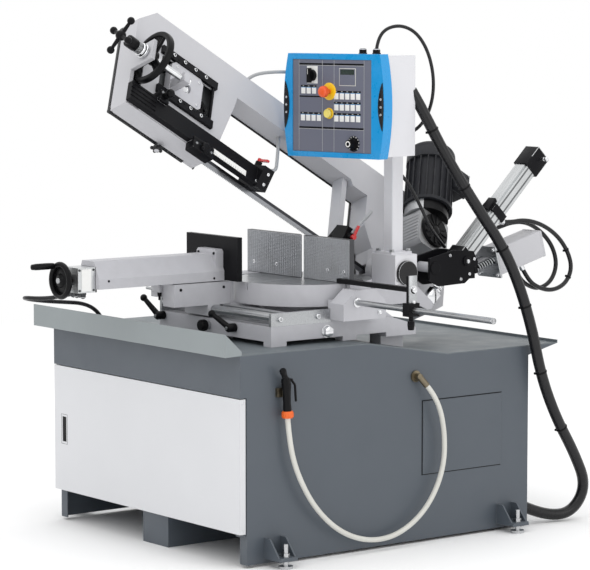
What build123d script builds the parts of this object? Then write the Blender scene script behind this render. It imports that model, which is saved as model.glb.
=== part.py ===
# Semi-automatic band saw: a cabinet with a vice, a turntable and an inclined swinging bow.
# Millimetres, +X to the right of the operator, +Y to the rear, +Z up, origin on the floor under the middle of the cabinet.
from build123d import *
import math
import os

os.makedirs("parts", exist_ok=True)

# Driving dimensions of the cabinet
cabinet_width = 1124.0
cabinet_depth = 1240.0
floor_gap = 10.0
sheet = 4.0
door_thickness = 24.0
door_bottom = 115.0
door_top = 563.0
deck_height = 705.0
tail_drop = 60.0
tray_sheet = 3.0
lip_reach = 84.0
lip_rise = 76.0
tail_reach = 139.0
duct_left = -41.0
duct_right = 110.0
service_floor = 113.0

# Driving dimensions of the bed, table and vice
table_rise = 195.0
turntable_x = 190.0
turntable_y = -100.0
turntable_radius = 240.0
bed_left = -198.0
bed_right = 452.0
bed_front = -435.0
bed_rear = 193.0
bed_step = 776.0
bed_deck = 800.0
rail_top = 821.0
bar_radius = 15.0
bar_y = -420.0
jaw_height = 150.0
jaw_thickness = 20.0
jaw_gap = 10.0
jaw_foot = 11.7
slide_key = 8.0
vice_screw_x = 42.0
vice_screw_rise = 34.0

# Driving dimensions of the bow
bow_raise = math.radians(30.8)
bow_lean = math.radians(27.0)
pivot_y = 198.0
pivot_z = 916.0
pivot_drop = 20.0
pivot_radius = 20.0
wheel_centre_rise = 190.0
blade_width = 27.0
blade_thickness = 0.9
idler_s = -985.0
drive_s = 145.0
wheel_width = 26.0
housing_front = -1225.0
housing_rear = 360.0
housing_low = -18.0
housing_top = 410.0
housing_near = 40.0
housing_far = -38.0
cover_thickness = 7.0
window_low = 130.0
window_high = 262.0
tension_s = -1192.0
tension_t = 160.0
tension_m = 100.0
tension_wheel = 96.0
wall = 6.0

# Clearances
running = 0.05
gap = 0.3

half_width = cabinet_width / 2
front_plane = -cabinet_depth / 2
rear_plane = cabinet_depth / 2
band_front = front_plane - 25.0
lip_front = front_plane - lip_reach
tail_end = rear_plane + tail_reach
lip_top = deck_height + lip_rise
tail_height = deck_height - tail_drop
# All above the tray is drawn over a tray 705 high and placed on the real one by this rise
machine_rise = deck_height - 705.0
tray_top = 705.0 + tray_sheet
table_height = 705.0 + table_rise
vice_screw_z = table_height + vice_screw_rise
wheel_radius = wheel_centre_rise - blade_thickness / 2 - gap

# Bow frame: s runs along the blade to the rear, t across the bow away from the blade, m towards its right side
along = Vector(0, math.cos(bow_raise), -math.sin(bow_raise))
upright = Vector(0, math.sin(bow_raise), math.cos(bow_raise))
side = Vector(1, 0, 0) * math.cos(bow_lean) + upright * math.sin(bow_lean)
pivot = Vector(turntable_x, pivot_y, pivot_z)
bow_plane = Plane(origin=pivot - upright * pivot_drop, x_dir=along, z_dir=side)
# The same origin with its third axis level, for what stands square to the cut
cut_plane = Plane(origin=pivot - upright * pivot_drop, x_dir=along, z_dir=(1, 0, 0))


def block(x0, x1, y0, y1, z0, z1):
    return Pos((x0 + x1) / 2, (y0 + y1) / 2, (z0 + z1) / 2) * Box(x1 - x0, y1 - y0, z1 - z0)


def rod(start, end, radius):
    first = Vector(*start)
    run = Vector(*end) - first
    low = (Align.CENTER, Align.CENTER, Align.MIN)
    return Plane(origin=first, z_dir=run).location * Cylinder(radius, run.length, align=low)


def ring(start, end, radius, bore):
    return rod(start, end, radius) - rod(start, end, bore)


def ball(centre, radius):
    return Pos(*centre) * Sphere(radius)


def prism_x(points, x0, x1):
    face = make_face(Polyline(*[(x0, y, z) for y, z in points], close=True))
    return extrude(face, amount=x1 - x0, dir=(1, 0, 0))


def prism_y(points, y0, y1):
    face = make_face(Polyline(*[(x, y0, z) for x, z in points], close=True))
    return extrude(face, amount=y1 - y0, dir=(0, 1, 0))


def prism_z(points, z0, z1):
    face = make_face(Polyline(*[(x, y, z0) for x, y in points], close=True))
    return extrude(face, amount=z1 - z0, dir=(0, 0, 1))


def hexagon(centre, axis, across, length):
    head = extrude(RegularPolygon(across / 2, 6, major_radius=False), amount=length)
    return Plane(origin=centre, z_dir=axis).location * head


def mirrored(shape):
    return mirror(shape, about=Plane.YZ)


def in_bow(shape):
    return bow_plane.location * shape


def in_cut(shape):
    return cut_plane.location * shape


def save(name, *shapes):
    solids = [solid for shape in shapes for solid in shape.solids()]
    export_step(Compound(solids), "parts/" + name + ".step")
    print(name, len(solids), "solids", round(sum(solid.volume for solid in solids) / 1000), "cm3")


def save_upper(name, *shapes):
    save(name, *[Pos(0, 0, machine_rise) * shape for shape in shapes])


def follow(route, start, end):
    # Shifts a route with its two ends, in between by its share of the way
    last = len(route) - 1
    moved = []
    for index, point in enumerate(route):
        share = index / last
        moved.append(tuple(p + a * (1 - share) + b * share for p, a, b in zip(point, start, end)))
    return moved


def tube(name, points, radius):
    # Straight runs joined by tangent arcs; each radius is set by the shorter neighbouring run and the turn there
    corners = [Vector(*point) for point in points]
    radii = []
    for before, here, after in zip(corners, corners[1:], corners[2:]):
        arrive = here - before
        leave = after - here
        turn = math.radians(arrive.get_angle(leave))
        radii.append(0.45 * min(arrive.length, leave.length) / math.tan(turn / 2))
    path = FilletPolyline(*points, radius=radii)
    start = Plane(origin=path @ 0, z_dir=path % 0)
    solid = sweep(start * Circle(radius), path=path)
    expected = math.pi * radius ** 2 * path.length
    print(name, "radii", [round(r) for r in radii], "length", round(path.length),
          "volume ratio", round(solid.volume / expected, 3))
    return solid


# Cabinet sheet metal

foot_rows = (front_plane + 109.0, rear_plane - 109.0)
foot_x = half_width + 70.0
anchor_x = half_width + 38.0
anchor_radius = 7.0
flange_front = front_plane + 2.0
door_pin = (half_width - 9.0, band_front + 11.0)
pin_radius = 4.0


def side_plate():
    outline = [(flange_front, floor_gap), (flange_front, door_top + 3), (band_front + sheet, door_top + 3),
               (band_front + sheet, deck_height), (-109, deck_height), (240, tail_height),
               (tail_end - 4, tail_height), (rear_plane, tail_height - 32), (rear_plane, floor_gap)]
    plate = prism_x(outline, half_width - sheet, half_width)
    plate += block(half_width - 38, half_width - sheet, flange_front, flange_front + sheet, floor_gap, door_top + 3)
    return plate


def foot_bracket(row):
    near = half_width + 0.1
    bracket = block(near, half_width + 90, row - 36, row + 36, 26, 38)
    for edge in (row - 36, row + 30):
        gusset = [(near, 37), (half_width + 80, 37), (half_width + 30, 95), (near, 95)]
        bracket += prism_y(gusset, edge, edge + 6)
    bracket -= rod((foot_x, row, 20), (foot_x, row, 45), 8.5)
    bracket -= rod((anchor_x, row, 20), (anchor_x, row, 45), anchor_radius)
    return bracket


def cabinet_panels():
    left = mirrored(side_plate())
    right = side_plate()
    # Lower hinge tab of the door with its pin
    tab = block(half_width - 26, half_width - sheet, band_front + 1, flange_front + 1, service_floor - sheet, service_floor)
    right += tab + rod((*door_pin, service_floor - 1), (*door_pin, door_bottom + 14), pin_radius)
    rear = block(-half_width + sheet, half_width - sheet, rear_plane - sheet, rear_plane, floor_gap, tail_height)
    access = block(half_width, half_width + 3, 133, 491, 237, 490)
    brackets = [foot_bracket(row) for row in foot_rows]
    brackets += [mirrored(bracket) for bracket in brackets]
    save("cabinet_panels", right, left, rear, access, *brackets)


def front_frame():
    band = block(-half_width, half_width, band_front, band_front + sheet, door_top + 3, deck_height)
    band += block(-half_width + sheet, half_width - sheet, band_front + sheet, flange_front - 4, door_top + 3, door_top + 7)
    band += rod((*door_pin, door_top - 13), (*door_pin, door_top + 5), pin_radius)
    save("front_frame", band)


def base_floor():
    top = service_floor
    floor = block(-half_width + sheet, half_width - sheet, flange_front + sheet, rear_plane - sheet, top - sheet, top)
    duct = block(duct_left, duct_right, flange_front, rear_plane - sheet, 0, top - sheet + 1)
    duct -= block(duct_left + 3, duct_right - 3, flange_front + 3, rear_plane - sheet - 3, 3, top - sheet - 3)
    save("base_floor", floor + duct)


def chip_tray():
    t = tray_sheet
    outline = [(lip_front, deck_height), (-109, deck_height), (240, tail_height), (tail_end, tail_height),
               (tail_end, tail_height + 12), (tail_end - t, tail_height + 12), (tail_end - t, tail_height + t),
               (240.5, tail_height + t), (-108.5, deck_height + t), (lip_front + t, deck_height + t),
               (lip_front + t, lip_top), (lip_front, lip_top)]
    tray = prism_x(outline, -half_width, half_width)
    left = -half_width - 39
    tray += block(left, -half_width, lip_front, band_front, deck_height, deck_height + t)
    tray += block(left, -half_width, lip_front, lip_front + t, deck_height, lip_top)
    gusset = [(lip_front + 1, deck_height + 1), (lip_front + 1, lip_top), (band_front + 8, deck_height + 15),
              (band_front + 8, deck_height + 1)]
    tray += prism_x(gusset, half_width - t, half_width)
    tray += prism_x(gusset, left, left + t)
    save("chip_tray", tray)


def levelling_feet():
    feet = []
    for row in foot_rows:
        foot = rod((foot_x, row, 0), (foot_x, row, 9), 24) + rod((foot_x, row, 8), (foot_x, row, 82), 8)
        foot += hexagon((foot_x, row, 38), (0, 0, 1), 24, 13)
        feet += [foot, mirrored(foot)]
    save("levelling_feet", *feet)


def base_services():
    front = front_plane + 60
    tank = block(-500, -90, front, 120, service_floor, 400)
    tank -= block(-496, -94, front + 4, 116, service_floor + 4, 401)
    lid = block(-500, -90, -380, 120, 400, 404)
    pump = rod((-300, -150, 404), (-300, -150, 560), 55) + rod((-300, -150, 200), (-300, -150, 404), 30)
    lid -= rod((-300, -150, 399), (-300, -150, 405), 30)
    power = block(140, 460, -500, -140, service_floor, 360) - block(144, 456, -496, -144, service_floor + 4, 350)
    motor = rod((300, -320, 360), (300, -320, 540), 75) + block(250, 350, -245 - 5, -205, 420, 500)
    save("base_services", tank, lid, pump, power, motor)


def front_door():
    left = -half_width + 2
    right = half_width - 2
    back = band_front + door_thickness
    door = block(left, right, band_front, back, door_bottom, door_top)
    door -= block(left + 3, right - 3, band_front + 3, back + 1, door_bottom + 3, door_top - 3)
    # Recessed pull handle near the free edge
    cup = block(left + 44, left + 82, band_front + 2, band_front + 18, 284, 390)
    cup -= block(left + 50, left + 76, band_front - 1, band_front + 15, 292, 382)
    door = door - block(left + 50, left + 76, band_front - 1, band_front + 4, 292, 382) + cup
    for low, high in ((door_bottom - 1, door_bottom + 16), (door_top - 16, door_top + 1)):
        boss = rod((*door_pin, max(low, door_bottom)), (*door_pin, min(high, door_top)), 9)
        door += boss
        door -= rod((*door_pin, low), (*door_pin, high), pin_radius + running)
    save("front_door", door)


# Bed, rails, stop and vice


def machine_bed():
    body = [(bed_front, tray_top), (bed_front, bed_step), (70, bed_step), (110, 768), (bed_rear - 12, 745),
            (bed_rear, 730), (bed_rear, tray_top)]
    bed = prism_x(body, bed_left, bed_right)
    deck = [(-330, bed_step - 1), (-330, bed_deck), (60, bed_deck), (110, 768 - 1), (100, bed_step - 8)]
    bed += prism_x(deck, -180, 438)
    hub_top = table_height - 75 - gap
    bed += rod((turntable_x, turntable_y, bed_deck - 1), (turntable_x, turntable_y, hub_top), 150)
    bed += block(-150, -62, -200, -40, bed_deck - 1, table_height - 14)
    bed += block(-158, -56, -240, -30, table_height - 15, table_height)
    bed += block(434, bed_right, -180, -6, bed_step - 1, 850)
    bed += block(434, bed_right, -100, -30, 849, table_height)
    # Rear left corner, cut down to let the bow swing past
    bed -= block(bed_left - 1, -120, 40, bed_rear + 1, 735, 800)
    for x0, x1 in ((-150, 100), (150, 410)):
        bed -= block(x0, x1, bed_front - 1, bed_rear + 1, 700, 724)
    for y0, y1 in ((-370, -130), (-70, 60)):
        bed -= block(bed_left - 1, bed_right + 1, y0, y1, 700, 724)
    # Rear feet, which reach down to the sloping part of the tray
    slope = tail_drop / 349
    for x0 in (-170, 350):
        foot = [(70, 709), (170, 709)]
        foot += [(y, tray_top + 0.1 - slope * (y + 108.5)) for y in (170, 70)]
        bed += prism_x(foot, x0, x0 + 60)
    bolt = hexagon((bed_right, -200, 746), (1, 0, 0), 32, 14)
    save_upper("machine_bed", bed, bolt)


def vise_rails():
    right_plate = block(440, bed_right, bed_front, -182, bed_step, rail_top)
    left_plate = block(bed_left, bed_left + 12, bed_front, -345, bed_step, rail_top)
    bar = rod((bed_left + 12, bar_y, rail_top - bar_radius), (440, bar_y, rail_top - bar_radius), bar_radius)
    flat = block(bed_left + 12, 440, -390, -360, bed_step, rail_top)
    bolts = [hexagon((bed_right, y, 800), (1, 0, 0), 16, 8) for y in (-400, -240)]
    save_upper("vise_rails", right_plate, left_plate, bar, flat, *bolts)


stop_y = -127.0
stop_z = 845.0
stop_radius = 10.0


def stop_rod():
    outline = [(-185, 784), (-185, 841), (-130, 887), (-50, 887), (-1, 845), (-1, 784)]
    holder = prism_x(outline, bed_right, 525)
    holder -= rod((490, stop_y, stop_z), (526, stop_y, stop_z), stop_radius + running)
    bar = rod((490, stop_y, stop_z), (1219, stop_y, stop_z), stop_radius)
    save_upper("stop_rod", holder, bar)


def stop_arm():
    clamp = block(793, 825, -150, -104, 824, 868) - rod((790, stop_y, stop_z), (830, stop_y, stop_z), stop_radius + running)
    plate = block(803, 815, -143, -111, 866, 958) - block(800, 820, -131, -123, 925, 950)
    rest = block(413, 804, -127, -109, 902, 918)
    bolt = rod((815, -127, 910), (824, -127, 910), 11)
    screw = rod((809, -127, 806), (809, -127, 825), 8) + rod((809, -127, 796), (809, -127, 808), 12)
    save_upper("stop_arm", clamp + plate + rest + bolt + screw)


def fixed_jaws():
    inner = turntable_x - jaw_gap / 2
    bevel = jaw_thickness * math.tan(math.radians(60))
    face = turntable_y
    low = table_height + gap
    plan = [(-133, face), (inner, face), (inner - bevel, face + jaw_thickness), (-133, face + jaw_thickness)]
    left = prism_z(plan, low, low + jaw_height) + block(-133, 110, face + jaw_thickness - 1, -40, low, low + jaw_foot)
    outer = turntable_x + jaw_gap / 2
    right = block(outer, 450, face, face + jaw_thickness, low, low + jaw_height)
    right += block(265, 450, face + jaw_thickness - 1, -40, low, low + jaw_foot)
    save_upper("fixed_jaw_left", left)
    save_upper("fixed_jaw_right", right)


arm_front = -891.0
arm_rear = -377.0
arm_bottom = table_height + 2.0


def vise_carriage():
    low = rail_top + gap
    body = block(-30, 108, -587, -350, low, table_height - 1)
    body += block(-30, 108, -446, -396, 784, low + 1)
    body -= rod((-40, bar_y, rail_top - bar_radius), (120, bar_y, rail_top - bar_radius), bar_radius + running)
    body += block(24, 60, -580, -356, table_height - 2, table_height + slide_key)
    body -= block(-31, 40, -588, -520, 820, 850)
    save_upper("vise_carriage", body)


def vise_arm():
    outline = [(-18, arm_bottom), (108, arm_bottom), (108, arm_bottom + 33), (78, arm_bottom + 92),
               (6, arm_bottom + 92), (-18, arm_bottom + 33)]
    arm = prism_y(outline, arm_front, arm_rear)
    # Raised head that carries the jaw
    low, high = arm_bottom + 30, arm_bottom + 108
    head = [(-12, low), (102, low), (102, high - 8), (94, high), (-4, high), (-12, high - 8)]
    arm += prism_y(head, arm_rear - 31, arm_rear)
    key_top = table_height + slide_key + gap
    arm -= block(24 - gap, 60 + gap, arm_front - 1, arm_rear + 1, table_height, key_top)
    arm -= rod((vice_screw_x, arm_front - 1, vice_screw_z), (vice_screw_x, -700, vice_screw_z), 12 + running)
    save_upper("vise_arm", arm)


def moving_jaw():
    jaw = block(-116, 184, arm_rear, arm_rear + jaw_thickness, arm_bottom + 1, arm_bottom + 152)
    key_top = table_height + slide_key + gap
    jaw -= block(24 - gap, 60 + gap, arm_rear - 1, arm_rear + jaw_thickness + 1, table_height, key_top)
    save_upper("moving_jaw", jaw)


def vise_cylinder():
    low, high = vice_screw_z - 42, vice_screw_z + 42
    port = low - 12
    body = block(2, 87, -960, arm_front, low, high)
    body -= rod((vice_screw_x, -961, vice_screw_z), (vice_screw_x, arm_front + 1, vice_screw_z), 12 + running)
    pipes = [rod((x, -925, port - 6), (x, -925, low), 9) for x in (25, 62)]
    elbow = rod((25, -925, port), (-5, -925, port), 8)
    save_upper("vise_cylinder", body, pipes[0] + elbow, pipes[1])


def vise_handwheel():
    centre = (vice_screw_x, -1000, vice_screw_z)
    x, y, z = centre
    wheel = fillet(ring((x, y - 9, z), (x, y + 9, z), 62, 48).edges().filter_by(GeomType.CIRCLE), 6)
    wheel += rod((x, y - 8, z), (x, y + 8, z), 20)
    for step in range(3):
        turn = math.radians(90 + 120 * step)
        wheel += rod((x, y, z), (x + 52 * math.cos(turn), y, z + 52 * math.sin(turn)), 7)
    wheel += rod((x, -962, z), (x, y + 8, z), 18)
    wheel += rod((x, y, z), (x, -720, z), 12)
    grip = math.radians(120)
    wheel += rod((x + 55 * math.cos(grip), y - 8, z + 55 * math.sin(grip)),
                 (x + 55 * math.cos(grip), y - 98, z + 55 * math.sin(grip)), 11)
    save_upper("vise_handwheel", wheel)


def clamp_lever(name, x, z, lean):
    face = bed_front
    tip = (x + 78 * math.sin(lean), face - 52, z + 78 * math.cos(lean))
    hub = rod((x, face - gap, z), (x, face - 36, z), 15)
    start = Vector(x, face - 24, z)
    run = Vector(*tip) - start
    reach = run.length
    neck = math.sqrt(13 ** 2 - 7 ** 2)
    grip = Polyline((0, 0), (7, 0), (7, reach - neck))
    grip += ThreePointArc((7, reach - neck), (13, reach), (0, reach + 13))
    grip += Line((0, reach + 13), (0, 0))
    turned = revolve(Plane.XZ * make_face(grip), Axis.Z)
    save_upper(name, hub + Plane(origin=start, z_dir=run).location * turned)


def lock_knob():
    x, z, face = 98, 752, bed_front
    knob = rod((x, face - gap, z), (x, face - 14, z), 14)
    knob += rod((x, face - 14, z), (x, face - 40, z), 19)
    save_upper("lock_knob", knob)


# Swivel, post and control panel

block_left = 262.0
block_right = 392.0
anchor = (306.0, 795.0)
lift_x = 367.0


def turntable():
    low = table_height - 75
    disc = rod((turntable_x, turntable_y, low), (turntable_x, turntable_y, table_height), turntable_radius)
    disc -= block(turntable_x - 3, turntable_x + 3, turntable_y - 250, turntable_y + 250, table_height - 26, table_height + 1)
    flare = [(turntable_x - 3, 20), (turntable_x + 3, 20), (turntable_x + 13, 145), (turntable_x - 13, 145)]
    disc -= prism_z(flare, table_height - 32, table_height + 1)
    disc += block(block_left, block_right, 60, 245, 810, 877) - rod((turntable_x, turntable_y, 700), (turntable_x, turntable_y, low), 152)
    ear = [(225, 812), (225, 870), (246, 870), (320, 806), (320, 784), (300, 780)]
    for near in (lift_x - 24, lift_x + 15):
        disc += prism_x(ear, near, near + 9)
    disc += rod((lift_x - 22, *anchor), (lift_x + 22, *anchor), 8)
    head = block(block_left, block_right, pivot_y - 49, pivot_y + 49, 877, 978)
    head -= rod((block_left - 1, pivot_y, pivot_z), (block_right + 1, pivot_y, pivot_z), pivot_radius + running)
    save_upper("turntable", disc, head)


def pivot_shaft():
    shaft = rod((222, pivot_y, pivot_z), (block_right, pivot_y, pivot_z), pivot_radius)
    shaft += rod((block_right, pivot_y, pivot_z), (block_right + 12, pivot_y, pivot_z), 42)
    save_upper("pivot_shaft", shaft)


panel_turn = math.radians(12.0)
panel_corner = (122.0, -112.0)
panel_bottom = 1323.0
panel_width = 406.0
panel_height = 355.0
panel_depth = 45.0
box_depth = 150.0
box_left = 116.0
post_x = 321.0
post_half = 25.0
across = Vector(math.cos(panel_turn), math.sin(panel_turn), 0)
facing = Vector(math.sin(panel_turn), -math.cos(panel_turn), 0)
panel_plane = Plane(origin=(*panel_corner, panel_bottom), x_dir=across, z_dir=facing)


def on_panel(shape):
    return panel_plane.location * shape


def box_rear_y(x):
    # Y of the control box's rear face where it meets the vertical plane at x
    depth = panel_depth + box_depth
    corner = Vector(*panel_corner, 0) - facing * depth
    return corner.Y + (x - corner.X) * math.tan(panel_turn)


def control_post():
    post = block(post_x - 46, post_x + 46, pivot_y - 46, pivot_y + 46, 978, 988)
    pillar = block(post_x - post_half, post_x + post_half, pivot_y - post_half, pivot_y + post_half, 988, 1660)
    post += fillet(pillar.edges().filter_by(Axis.Z), 5)
    post -= block(post_x - 21, post_x + 21, pivot_y - 21, pivot_y + 21, 990, 1656)
    for low in (1390, 1570):
        x0, x1 = post_x - 18, post_x + 18
        arm = [(x0, box_rear_y(x0)), (x1, box_rear_y(x1)), (x1, pivot_y - post_half), (x0, pivot_y - post_half)]
        post += prism_z(arm, low, low + 50)
    save_upper("control_post", post)


def box_body():
    return on_panel(block(box_left, panel_width, 6, panel_height - 6, -panel_depth - box_depth, -panel_depth))


def control_box():
    box = box_body()
    box -= on_panel(block(box_left + 3, panel_width - 3, 9, panel_height - 9, -panel_depth - box_depth + 3, -panel_depth - 3))
    glands = [on_panel(rod((box_left + 60 + 60 * i, panel_height - 6, -120), (box_left + 60 + 60 * i, panel_height + 16, -120), 12)) for i in (1, 2)]
    save_upper("control_box", box, *glands)


def operator_panel():
    bulge = 20.0
    middle = panel_height / 2
    left = ThreePointArc((0, 0, 0), (-bulge, middle, 0), (0, panel_height, 0))
    right = ThreePointArc((panel_width, panel_height, 0), (panel_width + bulge, middle, 0), (panel_width, 0, 0))
    top = Line((0, panel_height, 0), (panel_width, panel_height, 0))
    bottom = Line((panel_width, 0, 0), (0, 0, 0))
    frame = extrude(make_face([left, top, right, bottom]), amount=-panel_depth, dir=(0, 0, 1))
    frame -= block(20, panel_width - 36, 18, panel_height - 20, -3, 1)
    frame -= block(16, panel_width - 16, 14, panel_height - 14, 3 - panel_depth, -9)
    for a, b, bore in ((184, 226, 8), (184, 151, 8), (108, 280, 6), (292, 50, 4)):
        frame -= rod((a, b, -30), (a, b, 1), bore + running)
    keys = []
    for column in range(3):
        keys.append((68 + 24 * column, 228))
    for column in range(4):
        keys.append((66 + 24 * column, 135))
    for row in range(3):
        for column in range(5):
            keys.append((216 + 24 * column, 211 - 38 * row))
    pads = [block(a - 9, a + 9, b - 11, b + 11, -3, -1.5) for a, b in keys]
    save_upper("operator_panel", on_panel(frame), *[on_panel(pad) for pad in pads])


def panel_controls():
    face = -3.0
    stop = rod((184, 226, -20), (184, 226, 30), 8) + rod((184, 226, 12), (184, 226, 40), 20)
    save_upper("emergency_stop", on_panel(stop))
    start = rod((184, 151, -20), (184, 151, 6), 8) + rod((184, 151, 5), (184, 151, 12), 15)
    save_upper("start_button", on_panel(start))
    selector = rod((108, 280, -20), (108, 280, 6), 6) + rod((108, 280, face + gap), (108, 280, 8), 20)
    selector += block(101, 115, 254, 306, 7, 24)
    save_upper("mode_selector", on_panel(selector))
    speed = rod((292, 50, -20), (292, 50, 6), 4) + rod((292, 50, face + gap), (292, 50, 30), 17)
    save_upper("speed_knob", on_panel(speed))


# Bow


def bow_outline():
    top, low = housing_top, housing_low
    return [(housing_front, low), (-835, low), (-805, 68), (-752, 261), (-745, 300), (-165, 300), (-150, 280),
            (-75, 280), (-75, 150), (-30, 75), (-18, low), (300, low), (housing_rear, 42),
            (housing_rear, 360), (310, top), (-1150, top), (housing_front, 335)]


def flat_face(points):
    return make_face(Polyline(*[(s, t, 0) for s, t in points], close=True))


def keepers():
    # One keeper over the guide bar and one under it, each with a lip in front
    upper = block(-1118, -1078, 55 + gap, 82, 40, 80) + block(-1118, -1078, 44, 58, 68 + gap, 80)
    lower = block(-948, -855, -48, -16 - gap, 40, 80) + block(-948, -855, -20, -6, 68 + gap, 80)
    return upper + lower


hinge_radius = 4.0
front_knuckles = (-1100.0, -850.0)
rear_knuckles = (0.0, 220.0)
knuckle = 40.0


def knuckles(places, ease):
    # Barrels on the hinge line of a wheel cover, along the top edge of the housing
    barrels = []
    for s in places:
        start = (s - ease, housing_top, housing_far)
        barrels.append(rod(start, (s + knuckle + ease, housing_top, housing_far), hinge_radius + ease))
    return barrels[0] + barrels[1]


def bow_frame():
    outer = flat_face(bow_outline())
    inner = offset(outer, amount=-wall, kind=Kind.INTERSECTION)
    frame = Pos(0, 0, housing_far) * extrude(outer, amount=housing_near - housing_far, dir=(0, 0, 1))
    frame -= Pos(0, 0, housing_far) * extrude(inner, amount=housing_near - wall - housing_far, dir=(0, 0, 1))
    # Middle strip of the beam, which has no opening cover
    frame += block(-744, -77, 300, housing_top, housing_far - cover_thickness, housing_far)
    # Blade ways out of the front housing and into the rear one
    frame -= block(-850, -790, housing_low + 6, 24, -22, 22)
    frame -= block(-60, 10, housing_low + 6, 24, -22, 22)
    # Window of the tension slide, notch of the handwheel and bearing of its screw
    frame -= block(-1100, -860, window_low, window_high, 30, 50)
    t, m = tension_t, tension_m
    frame -= block(tension_s - 18, tension_s + 18, t - 82, t + 82, 20, 50)
    frame += block(housing_front, housing_front + 14, t - 40, t + 40, 38, m + 38)
    frame -= rod((housing_front - 1, t, m), (housing_front + 15, t, m), 12 + running)
    # Guide way of the guide arm with its two keepers
    frame += block(-1170, -835, -14, 53, 39, 46 - gap)
    frame += keepers()
    frame -= rod((-1098, 66, 64), (-1098, 66, 81), 6 + running)
    frame -= rod((drive_s, wheel_centre_rise, 30), (drive_s, wheel_centre_rise, 41), 32)
    frame -= knuckles(front_knuckles, gap) + knuckles(rear_knuckles, gap)
    # Web of the pivot lug
    frame += block(-45, 70, housing_low, 60, 38, 60)
    bow = in_bow(frame)
    lug = rod((227, pivot_y, pivot_z), (259, pivot_y, pivot_z), 50)
    lug += block(229, 257, pivot_y + 30, 318, 912, 944)
    lug += rod((229, 312, 928), (413, 312, 928), 18)
    bow += lug
    bow -= rod((200, pivot_y, pivot_z), (261, pivot_y, pivot_z), pivot_radius + running)
    save_upper("bow_frame", bow)


def gib_strips():
    low = block(-1110, -850, window_low - 32, window_low - 1, housing_near, 52)
    high = block(-1110, -850, window_high + 1, window_high + 31, housing_near, 52)
    bolts = []
    for s in (-1060, -1010, -960, -910):
        for t in (window_low - 16, window_high + 16):
            bolts.append(rod((s, t, 52), (s, t, 56), 6))
    save_upper("gib_strips", *[in_bow(part) for part in (low, high, *bolts)])


def front_cover():
    outline = [(housing_front, housing_low), (-835, housing_low), (-805, 68), (-752, 261), (-746, 300),
               (-746, housing_top), (-1150, housing_top), (housing_front, 335)]
    plate = extrude(flat_face(outline), amount=cover_thickness - gap, dir=(0, 0, 1))
    knob = rod((-1000, housing_low, -42), (-1000, housing_low - 14, -42), 5) + ball((-1000, housing_low - 20, -42), 11)
    save_upper("front_cover", in_bow(Pos(0, 0, housing_far - cover_thickness) * plate + knob + knuckles(front_knuckles, 0)))


def rear_cover():
    outline = [(-75, housing_top), (-75, 150), (-30, 75), (-18, housing_low), (300, housing_low),
               (housing_rear, 42), (housing_rear, 360), (310, housing_top)]
    plate = extrude(flat_face(outline), amount=cover_thickness - gap, dir=(0, 0, 1))
    save_upper("rear_cover", in_bow(Pos(0, 0, housing_far - cover_thickness) * plate + knuckles(rear_knuckles, 0)))


def band_wheel(centre_s, bore):
    centre = (centre_s, wheel_centre_rise)
    half = wheel_width / 2
    wheel = rod((*centre, -half), (*centre, half), wheel_radius)
    for near, far in ((-half - 1, -5), (5, half + 1)):
        wheel -= ring((*centre, near), (*centre, far), wheel_radius - 16, 42)
    for step in range(5):
        turn = math.radians(72 * step)
        hole = (centre_s + 108 * math.cos(turn), wheel_centre_rise + 108 * math.sin(turn))
        wheel -= rod((*hole, -half), (*hole, half), 34)
    if bore:
        wheel -= rod((*centre, -half - 1), (*centre, half + 1), bore)
    return wheel


def wheels():
    save_upper("idler_wheel", in_bow(band_wheel(idler_s, 20 + running)))
    drive = band_wheel(drive_s, 0)
    drive += rod((drive_s, wheel_centre_rise, 12), (drive_s, wheel_centre_rise, 58), 20)
    save_upper("drive_wheel", in_bow(drive))


def saw_blade():
    half = blade_thickness / 2
    reach = blade_width / 2
    top = 2 * wheel_centre_rise
    blade = block(idler_s, drive_s, top - half, top + half, -reach, reach)
    outer = wheel_centre_rise + half
    inner = wheel_centre_rise - half
    for centre_s, s0, s1 in ((idler_s, idler_s - 200, idler_s), (drive_s, drive_s, drive_s + 200)):
        wrap = ring((centre_s, wheel_centre_rise, -reach), (centre_s, wheel_centre_rise, reach), outer, inner)
        blade += wrap & block(s0, s1, -10, top + 10, -20, 20)

    def section(s, turned):
        # The blade stands on the wheels along m and is turned by the guides to stand upright in the cut
        plane = Plane(origin=(s, 0, 0), x_dir=(0, math.sin(turned), math.cos(turned)), z_dir=(1, 0, 0))
        return plane * Rectangle(blade_width, blade_thickness)

    cut_turn = math.pi / 2 - bow_lean
    front_guide_s, rear_guide_s = -745.0, -147.0
    front_twist_s, rear_twist_s = idler_s + 70.0, drive_s - 40.0
    blade += block(idler_s, front_twist_s, -half, half, -reach, reach)
    blade += block(rear_twist_s, drive_s, -half, half, -reach, reach)
    for start, end, first, last in ((front_twist_s, front_guide_s, 0, cut_turn), (rear_guide_s, rear_twist_s, cut_turn, 0)):
        steps = 4
        places = [section(start + (end - start) * i / steps, first + (last - first) * i / steps) for i in range(steps + 1)]
        blade += loft(places, ruled=True)
    blade += extrude(section(front_guide_s, cut_turn), amount=rear_guide_s - front_guide_s, dir=(1, 0, 0))
    save_upper("saw_blade", in_bow(blade))


def tension_slide():
    t, m = tension_t, tension_m
    low, high = window_low + running, window_high - running
    plan = [(-1060, low), (-928, low), (-912, low + 16), (-912, high - 16), (-928, high), (-1044, high), (-1060, high - 16)]
    slide = prism_z(plan, 20, 48)
    slide += rod((idler_s, wheel_centre_rise, -14), (idler_s, wheel_centre_rise, 22), 20)
    slide += block(-1058, -1032, t - 18, t + 18, 47, m + 18)
    slide -= rod((-1070, t, m), (-1000, t, m), 12 + running)
    slide -= rod((idler_s, wheel_centre_rise, 38), (idler_s, wheel_centre_rise, 49), 22)
    save_upper("tension_slide", in_bow(slide))


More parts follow.
